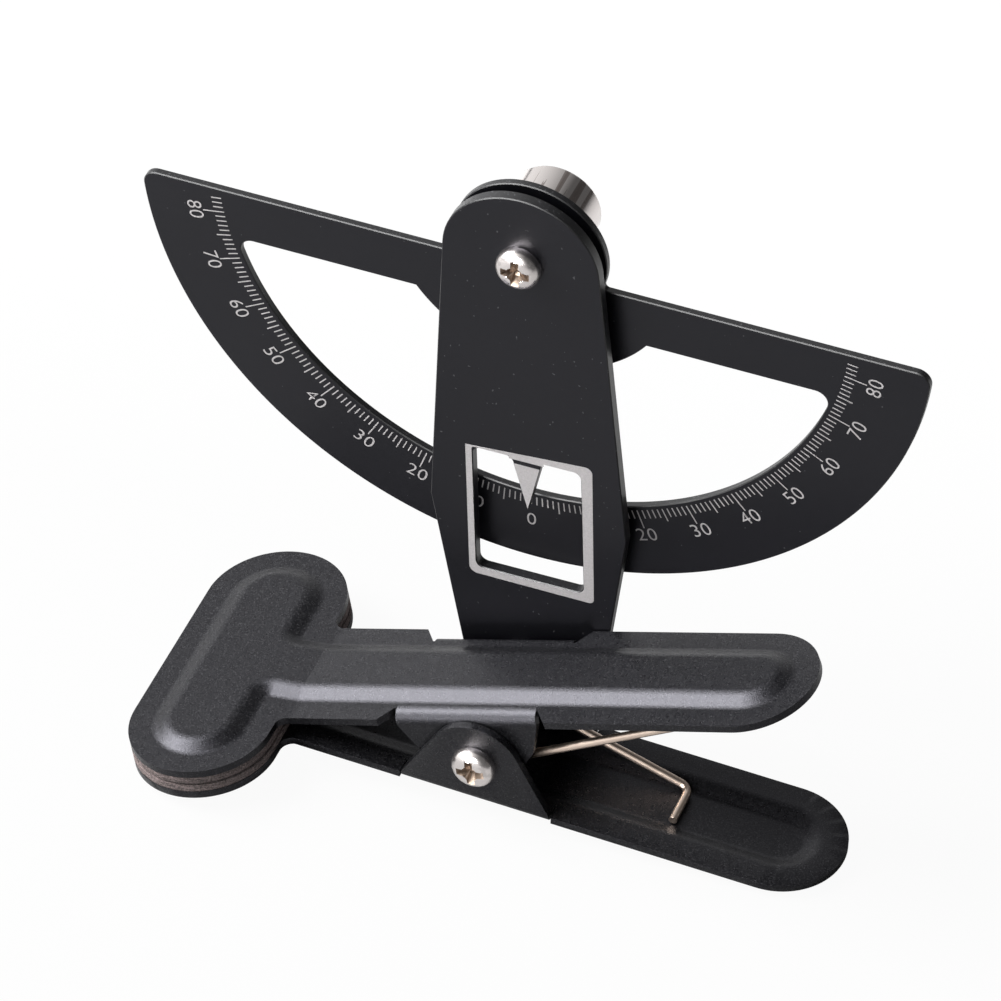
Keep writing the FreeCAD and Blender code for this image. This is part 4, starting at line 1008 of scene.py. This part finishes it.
def window_outline(sizes):
    """Outline of the window, with the pointer that hangs into it."""
    half, top = mm(sizes.window_half), -mm(sizes.window_drop)
    low, corner = top - mm(sizes.window_height), mm(sizes.window_corner)
    pointer = mm(sizes.pointer_half)
    return rounded([(-half, top, corner), (-pointer, top, mm(sizes.pointer_blend)),
                    (0, top - mm(sizes.pointer_length), 0), (pointer, top, 0), (half, top, corner),
                    (half, low, corner), (-half, low, corner)])


def upright_outlines(sizes, hole):
    """Outer outline, window and screw holes of the upright."""
    radius, half = mm(sizes.head_radius), mm(sizes.shoulder_half)
    shoulder = (half, -mm(sizes.shoulder_drop))
    touch = math.degrees(math.atan2(shoulder[1], shoulder[0]) + math.acos(radius / math.hypot(*shoulder)))
    foot, low, corner = mm(sizes.foot_half), -mm(sizes.foot_drop), mm(sizes.foot_corner)
    top = [(x, z, 0) for x, z in arc((0, 0), radius, touch, 180 - touch, 64)]
    outer = rounded([(half, shoulder[1], 0), *top, (-half, shoulder[1], 0), (-foot, low, corner),
                     (foot, low, corner)])
    clamp = on_upright(sizes).inverted() @ CLAMP_PIVOT
    return [outer, window_outline(sizes), circle(hole, number=48), circle(hole, (clamp.x, clamp.z), 48)]


class GAUGE_OT_plates(bpy.types.Operator):
    """Cut the dial and the upright from black sheet"""
    bl_idname = "gauge.plates"
    bl_label = "Dial and upright"

    def execute(self, context):
        sizes, hardware = context.scene.gauge_plates, context.scene.gauge_hardware
        edge = mm(sizes.edge_break)
        hole = mm(hardware.thread) / 2 + HOLE_PLAY
        for label, node, body, outlines, place in (
                ("dial_cut", "dial_plate", "dial", dial_outlines(sizes, mm(hardware.spigot)), on_dial()),
                ("upright_cut", "upright", "clamp", upright_outlines(sizes, hole), on_upright(sizes))):
            plate = flat_outline(label, outlines, *depth(node), edge)
            edge_finish(plate)
            smooth_shaded(plate)
            settle(plate, place, body, [node], "black_anodised")
        return {"FINISHED"}


# Corners (x, z, radius) of the window's border as it was marked, not quite square to the plate.
BORDER_CORNERS = ((-7.32, -31.1, 0), (9.05, -29.6, 0.9), (9.3, -52.15, 0.7), (-7.0, -52.3, 1.1))


class GAUGE_OT_marks(bpy.types.Operator):
    """Mark the dial's degrees and the window's border and pointer"""
    bl_idname = "gauge.marks"
    bl_label = "Scale and window marks"

    def execute(self, context):
        sizes = context.scene.gauge_plates
        deep = mm(sizes.mark_depth)
        front = depth("dial_plate")[0]
        last_degree = 83
        ticks = []
        for degree in range(-last_degree, last_degree + 1):
            if degree % 5 or not degree:
                end = sizes.tick_short
            elif degree % 10:
                end = sizes.tick_middle
            else:
                end = sizes.tick_long
            ticks.append(self.tick(mm(sizes.tick_start), mm(end), mm(sizes.tick_width) / 2, degree))
        scale = flat_outline("scale_ticks", ticks, front - deep, front)
        settle(scale, on_dial(), "dial", [], "black_anodised", laser_mark)
        for degree in range(-80, 81, 10):
            self.number(sizes, degree, front - deep)
        front = depth("upright")[0]
        outlines = [rounded(BORDER_CORNERS), self.seen_window(sizes)]
        border = flat_outline("window_border", outlines, front - deep, front)
        settle(border, on_dial(), "clamp", [], "black_anodised", laser_mark)
        top, half = -mm(sizes.window_drop) - mm(sizes.pointer_strip), mm(sizes.pointer_half)
        tip = -mm(sizes.window_drop + sizes.pointer_length)
        share = half * (top - tip) / mm(sizes.pointer_length)
        bare_side, bare_tip = 0.05, 0.12
        outline = [(bare_side - share, top), (0, tip + bare_tip), (share - bare_side, top)]
        pointer = flat_outline("window_pointer", [outline], front - deep, front)
        settle(pointer, on_upright(sizes), "clamp", [], "black_anodised", laser_mark)
        return {"FINISHED"}

    def tick(self, start, end, half, degree):
        turn = math.radians(degree)
        across, down = Vector((math.cos(turn), math.sin(turn))), Vector((math.sin(turn), -math.cos(turn)))
        return [tuple(down * reach + across * half * side)
                for reach, side in ((start, -1), (start, 1), (end, 1), (end, -1))]

    def number(self, sizes, degree, front):
        """Number of a ten degree mark, its top towards the pivot."""
        on_its_own()
        bpy.ops.object.text_add()
        words = bpy.context.object
        words.data.body = str(abs(degree))
        words.data.size = mm(sizes.number_size)
        words.data.align_x, words.data.align_y = "CENTER", "CENTER"
        words.data.offset, words.data.space_character = -0.015, 1.08
        hold(words)
        bpy.ops.object.convert(target="MESH")
        words = bpy.context.object
        side = "left" if degree < 0 else "right" if degree else "middle"
        words.name = words.data.name = f"number_{side}_{abs(degree)}"
        words.data.transform(Matrix.Rotation(math.radians(-degree), 4, "Y")
                             @ Matrix.Translation((0, front, -mm(sizes.number_radius))) @ STAND_UP)
        settle(words, on_dial(), "dial", [], "black_anodised", laser_mark)

    def seen_window(self, sizes):
        """The window's outline, turned with the upright, without its pointer."""
        bare, dip = 0.1, 0.4
        half, top = mm(sizes.window_half) + bare, -mm(sizes.window_drop) + bare
        low, corner = top - mm(sizes.window_height) - 2 * bare, mm(sizes.window_corner)
        turn = Matrix.Rotation(sizes.lean, 2)
        pointer = mm(sizes.pointer_half) + 3 * bare
        corners = [(half, top, corner), (half, low, corner), (-half, low, corner), (-half, top, 0.4),
                   (-pointer, top, 0), (-pointer, top - dip, 0), (pointer, top - dip, 0), (pointer, top, 0)]
        return rounded([(*(turn @ Vector((x, z))), radius) for x, z, radius in corners])


# Turned pieces, screws and nuts, about the Y axis.

def threaded(radius, pitch, start, end):
    """Profile points of a thread between two places along its axis."""
    points = []
    turns = int((end - start) / pitch)
    for turn in range(turns):
        at = start + turn * pitch
        points += [(radius - THREAD_DEPTH, at), (radius, at + 0.4 * pitch), (radius, at + 0.55 * pitch)]
    return points + [(radius - THREAD_DEPTH, start + turns * pitch)]


# Shares of a screw head's radius, and how far below its top they lie.
DOME = ((0, 0), (0.3, 0.01), (0.55, 0.07), (0.74, 0.22), (0.88, 0.47), (0.96, 0.8), (1, 1.2))


class GAUGE_OT_screws(bpy.types.Operator):
    """Turn both screws and sink their cross recesses"""
    bl_idname = "gauge.screws"
    bl_label = "Screws"

    def execute(self, context):
        sizes = context.scene.gauge_hardware
        tip, thread_length = 0.4, 7.0
        for node, place, turn in (("clamp_screw", on_clamp(), sizes.clamp_cross),
                                  ("dial_screw", on_dial(), sizes.dial_cross)):
            back = depth(node)[1]
            seat = depth("upright")[0] if node == "dial_screw" else -depth("upright")[0]
            top = seat - mm(sizes.head_height)
            radius, rim = mm(sizes.thread) / 2, mm(sizes.screw_head) / 2
            head = [(rim * share, top + drop) for share, drop in DOME]
            head += [(rim, seat - 0.15), (rim - 0.12, seat), (radius, seat)]
            shank = [(radius, back - thread_length)]
            shank += threaded(radius, mm(sizes.thread_pitch), back - thread_length + 0.1, back - tip)
            shank += [(radius - tip, back), (0, back)]
            screw = turn_on_lathe(node + "_turned", head + shank, 64)
            dress(screw, bright_nickel, recess_stain)
            screw = combine(screw, self.cross(sizes, top), "DIFFERENCE")
            soften(screw, 0.05, limit=40.0, segments=2)
            smooth_shaded(screw, 40.0)
            spin = Matrix.Rotation(turn, 4, "Y")
            settle(screw, place @ spin, "clamp", [node], "bright_nickel")
        return {"FINISHED"}

    def cross(self, sizes, top):
        """Tapered cross that sinks the recess."""
        long, wide, deep = mm(sizes.cross_length) / 2, mm(sizes.cross_width) / 2, mm(sizes.cross_depth)
        bars = []
        above, bottom_share = top - 0.05, (0.5, 1, 0.6)
        for turn in (0, math.pi / 2):
            bar = add_block("bar", (-long, above, -wide), (long, top + deep, wide))
            pick(bar, "VERT", lambda at: at.y > top)
            bpy.ops.transform.resize(value=bottom_share, center_override=(0, top + deep, 0))
            on_its_own()
            bar.data.transform(Matrix.Rotation(turn, 4, "Y"))
            bars.append(bar)
        tool = combine(bars[0], bars[1], "UNION")
        middle = turn_on_lathe("middle", [(0, above), (wide * 2.1, above), (wide * 2.1, top),
                                          (wide * 0.6, top + deep + 0.2), (0, top + deep + 0.4)], 24)
        tool = combine(tool, middle, "UNION")
        dress(tool, bright_nickel, recess_stain)
        for face in tool.data.polygons:
            face.material_index = 1
        return tool


def nut_on_axis(label, sizes, front, hexagon, back):
    """Hexagon nut with chamfered corners, and a round collar behind it if it has one."""
    half = mm(sizes.nut_flats) / 2
    round_corner = half * 2 / math.sqrt(3)
    chamfer, outside = 0.32, 0.05
    nut = add_disc(label, round_corner, front, hexagon, 6)
    rim = turn_on_lathe("rim", [
        (0, front), (half - outside, front), (round_corner + outside, front + chamfer),
        (round_corner + outside, hexagon - chamfer), (half - outside, hexagon), (0, hexagon)], 72)
    nut = combine(nut, rim, "INTERSECT")
    if back > hexagon:
        collar = turn_on_lathe("collar", [
            (0, hexagon - 0.2), (half - 0.1, hexagon - 0.2), (half - 0.1, back - 0.35),
            (half - 0.22, back - 0.1), (half - 0.5, back), (0, back)], 72)
        nut = combine(nut, collar, "UNION")
        insert_radius = 2.12
        nut = combine(nut, add_disc("seat", insert_radius, hexagon, back + 1, 64), "DIFFERENCE")
    nut = combine(nut, add_disc("bore", mm(sizes.thread) / 2 + 0.01, front - 1, back + 1, 48), "DIFFERENCE")
    soften(nut, 0.06, limit=25.0, segments=2)
    return smooth_shaded(nut, 20.0)


class GAUGE_OT_nuts(bpy.types.Operator):
    """Make the nuts and the clamp's washer"""
    bl_idname = "gauge.nuts"
    bl_label = "Nuts and washer"

    def execute(self, context):
        sizes = context.scene.gauge_hardware
        front, back = depth("dial_nut")
        nut = nut_on_axis("dial_nut_cut", sizes, front, back, back)
        settle(nut, on_dial(), "clamp", ["dial_nut"], "zinc_steel")
        front, back = depth("clamp_nut")
        lock = nut_on_axis("clamp_nut_cut", sizes, front, depth("clamp_nut_insert")[0], back)
        settle(lock, on_clamp(), "clamp", ["clamp_nut"], "zinc_steel")
        front, back = depth("clamp_washer")
        hole, rim, soft = mm(sizes.thread) / 2 + HOLE_PLAY, mm(sizes.washer_radius), 0.08
        washer = turn_on_lathe("clamp_washer_cut", [
            (hole, front), (rim - 0.06, front), (rim, front + soft), (rim, back - soft), (rim - 0.1, back),
            (hole, back), (hole, front)])
        smooth_shaded(washer)
        settle(washer, on_clamp(), "clamp", ["clamp_washer"], "zinc_steel")
        return {"FINISHED"}


class GAUGE_OT_barrel(bpy.types.Operator):
    """Turn the barrel that carries the dial on its bearings"""
    bl_idname = "gauge.barrel"
    bl_label = "Bearing barrel"

    def execute(self, context):
        sizes = context.scene.gauge_hardware
        front, back = depth("dial_barrel")
        sheet = depth("dial_plate")[1]
        first, second = depth("front_outer_ring")[1], depth("rear_outer_ring")[0]
        outer, spigot, bore = mm(sizes.barrel_radius), mm(sizes.spigot), mm(sizes.barrel_bore)
        edge, chamfer, shelf = mm(sizes.barrel_edge), 0.1, 0.45
        barrel = turn_on_lathe("barrel_turned", [
            (bore, front), (spigot, front), (spigot, sheet), (outer - chamfer, sheet),
            (outer, sheet + chamfer), (outer, back - edge), (outer - edge * 0.35, back - edge * 0.3),
            (outer - edge, back), (bore + chamfer, back), (bore, back - chamfer), (bore, second),
            (bore - shelf, second), (bore - shelf, first), (bore, first), (bore, front)], 128)
        smooth_shaded(barrel, 30.0)
        settle(barrel, on_dial(), "dial", ["dial_barrel"], "barrel_nickel")
        return {"FINISHED"}


class GAUGE_OT_rivets(bpy.types.Operator):
    """Head the rivets that hold the upright's foot"""
    bl_idname = "gauge.rivets"
    bl_label = "Rivets"

    def execute(self, context):
        sizes, clamp = context.scene.gauge_hardware, context.scene.gauge_clamp
        inside, top = depth("upright_rivets")
        seat = depth("upright")[1]
        head, shank, rim = mm(sizes.rivet_head), 1.0, 0.08
        profile = [(0, inside), (shank, inside + 0.02), (shank, seat), (head - 0.05, seat),
                   (head, seat + rim)]
        profile += [(head * math.cos(turn), seat + rim + (top - seat - rim) * math.sin(turn))
                    for turn in BEND_TURNS[1:-1]] + [(0, top)]
        model = turn_on_lathe("rivet_left", profile, 40)
        other = model.copy()
        other.data = model.data.copy()
        other.name = "rivet_right"
        bpy.context.scene.collection.objects.link(other)
        along = Vector((math.cos(clamp.bend), 0, -math.sin(clamp.bend)))
        down = Vector((-math.sin(clamp.bend), 0, -math.cos(clamp.bend)))
        for rivet, side in ((model, -1), (other, 1)):
            smooth_shaded(rivet)
            spot = along * side * mm(sizes.rivet_side) + down * mm(sizes.rivet_drop)
            settle(rivet, on_clamp() @ Matrix.Translation(spot), "clamp",
                   ["upright_rivets"] if side < 0 else [], "rivet_alloy")
        return {"FINISHED"}


# What stays of the CAD model, and the studio.

class GaugeStage(bpy.types.PropertyGroup):
    """Camera and studio around the gauge."""
    azimuth: angle("Azimuth", 22.39458, "Turn of the camera around the gauge")
    elevation: angle("Elevation", 43.722837, "Height of the camera, as an angle")
    roll: angle("Roll", -0.59636, "Roll of the camera")
    distance: length("Distance", 814.34, "Camera to the picture's middle")
    across: length("Across", -3.44311, "Middle of the picture beside the dial's pivot")
    above: length("Above", -29.37696, "Middle of the picture above the dial's pivot")
    lens: count("Lens", 250.5532, "Focal length in millimetres")


class GAUGE_OT_cad_finishes(bpy.types.Operator):
    """Give every CAD piece that stays in sight its finish"""
    bl_idname = "gauge.cad_finishes"
    bl_label = "CAD finishes"

    def execute(self, context):
        for node in frame["nodes"].values():
            for held in node.material_slots:
                held.material = finish_of(FINISH_OF_SLOT[held.material.name])
        return {"FINISHED"}


class GAUGE_OT_stage(bpy.types.Operator):
    """Pale floor, soft light and the camera at the photograph's angle"""
    bl_idname = "gauge.stage"
    bl_label = "Studio and camera"

    def execute(self, context):
        stage = context.scene.gauge_stage
        az, el, roll = stage.azimuth, stage.elevation, stage.roll
        back = Vector((math.sin(az) * math.cos(el), -math.cos(az) * math.cos(el), math.sin(el)))
        right = Vector((math.cos(az), math.sin(az), 0.0))
        up = back.cross(right)
        across = math.cos(roll) * right + math.sin(roll) * up
        upwards = -math.sin(roll) * right + math.cos(roll) * up
        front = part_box("dial_plate")[0].y
        target = Vector((0.0, front, DIAL_PIVOT.z)) + stage.across * across + stage.above * upwards
        on_its_own()
        bpy.ops.object.camera_add()
        camera = context.object
        camera.name = "camera"
        camera.matrix_world = Matrix.Translation(target + stage.distance * back) @ Matrix(
            (across, upwards, back)).transposed().to_4x4()
        camera.data.lens = stage.lens
        camera.data.sensor_width = 36.0
        camera.data.clip_start, camera.data.clip_end = 0.01, 20.0
        context.scene.camera = camera
        bpy.ops.mesh.primitive_plane_add(size=30.0, location=(0, 0, -0.0002))
        floor = context.object
        floor.name = "floor"
        floor.data.materials.append(pale_floor())
        key = self.area_light("key", target, (-0.744, -0.12, 0.657), distance=0.9, size=0.6, power=29.0)
        fill = self.area_light("fill", target, (-0.27, -0.86, 0.42), distance=1.1, size=0.7, power=38.0)
        fill.visible_diffuse = False
        context.scene.world = studio_world()
        context.scene.view_settings.view_transform = "Standard"
        return {"FINISHED"}

    def area_light(self, name, target, away, distance, size, power):
        on_its_own()
        place = target + Vector(away).normalized() * distance
        bpy.ops.object.light_add(type="AREA", location=place)
        light = bpy.context.object
        light.name = name
        light.rotation_euler = (target - place).to_track_quat("-Z", "Y").to_euler()
        light.data.size, light.data.energy = size, power
        return light


def studio_world():
    """Plain white for the camera, and light that falls off from left to right."""
    world = bpy.data.worlds.new("studio")
    nodes = Nodes(world)
    backdrop = nodes.tree.nodes["Background"]
    nodes.feed(backdrop.inputs["Color"], WHITE)
    way = nodes.node("ShaderNodeTexCoord", output="Generated")
    across = nodes.node("ShaderNodeSeparateXYZ", inputs={0: way}, output="X")
    level = nodes.node("ShaderNodeMapRange", inputs={
        "Value": across, "From Min": -0.75, "From Max": 0.35, "To Min": 1.2, "To Max": 0.12})
    rays = nodes.node("ShaderNodeLightPath", output="Is Camera Ray")
    nodes.feed(backdrop.inputs["Strength"], nodes.node("ShaderNodeMix", inputs={0: rays, 2: level, 3: 1.0}))
    return world


def pale_floor():
    """White floor that only shows the gauge's shadow."""
    finish = Finish("pale_floor", specular=0.0)
    along = finish.node("ShaderNodeSeparateXYZ", inputs={0: finish.place()}, output=1)
    behind = finish.node("ShaderNodeMapRange", inputs={"Value": along, "From Min": 0.03, "From Max": 0.12})
    finish.give(Base_Color=finish.mix(behind, (0.28, 0.28, 0.28), (0.5, 0.5, 0.5)), Roughness=1.0)
    lit = finish.node("ShaderNodeEmission", inputs={"Color": WHITE, "Strength": 1.0})
    output = finish.tree.nodes["Material Output"]
    rays = finish.node("ShaderNodeLightPath", output="Is Camera Ray")
    blend = finish.node("ShaderNodeMixShader", inputs={0: rays * 0.95, 2: lit})
    finish.tree.links.new(finish.shader.outputs[0], blend.socket.node.inputs[1])
    finish.tree.links.new(blend.socket, output.inputs["Surface"])
    return finish.material


class GAUGE_PT_panel(bpy.types.Panel):
    bl_label = "Throw gauge"
    bl_idname = "GAUGE_PT_panel"
    bl_space_type = "VIEW_3D"
    bl_region_type = "UI"
    bl_category = "Throw Gauge"

    def draw(self, context):
        for operator in OPERATORS:
            self.layout.operator(operator.bl_idname)
        for name in GROUPS:
            group = getattr(context.scene, name)
            box = self.layout.box()
            for key in group.__annotations__:
                box.prop(group, key)


GROUPS = {"gauge_clamp": GaugeClampSizes, "gauge_plates": GaugePlateSizes,
          "gauge_hardware": GaugeHardwareSizes, "gauge_finish": GaugeFinish, "gauge_stage": GaugeStage}
OPERATORS = (GAUGE_OT_jaws, GAUGE_OT_pads, GAUGE_OT_spring, GAUGE_OT_plates, GAUGE_OT_marks,
             GAUGE_OT_screws, GAUGE_OT_nuts, GAUGE_OT_barrel, GAUGE_OT_rivets, GAUGE_OT_cad_finishes,
             GAUGE_OT_stage)


def register():
    for kind in (*GROUPS.values(), *OPERATORS, GAUGE_PT_panel):
        bpy.utils.register_class(kind)
    for name, group in GROUPS.items():
        setattr(bpy.types.Scene, name, bpy.props.PointerProperty(type=group))


def unregister():
    for name in GROUPS:
        delattr(bpy.types.Scene, name)
    for kind in reversed((*GROUPS.values(), *OPERATORS, GAUGE_PT_panel)):
        bpy.utils.unregister_class(kind)


def main():
    register()
    for operator in OPERATORS:
        group, name = operator.bl_idname.split(".")
        getattr(getattr(bpy.ops, group), name)()


if __name__ == "__main__":
    main()
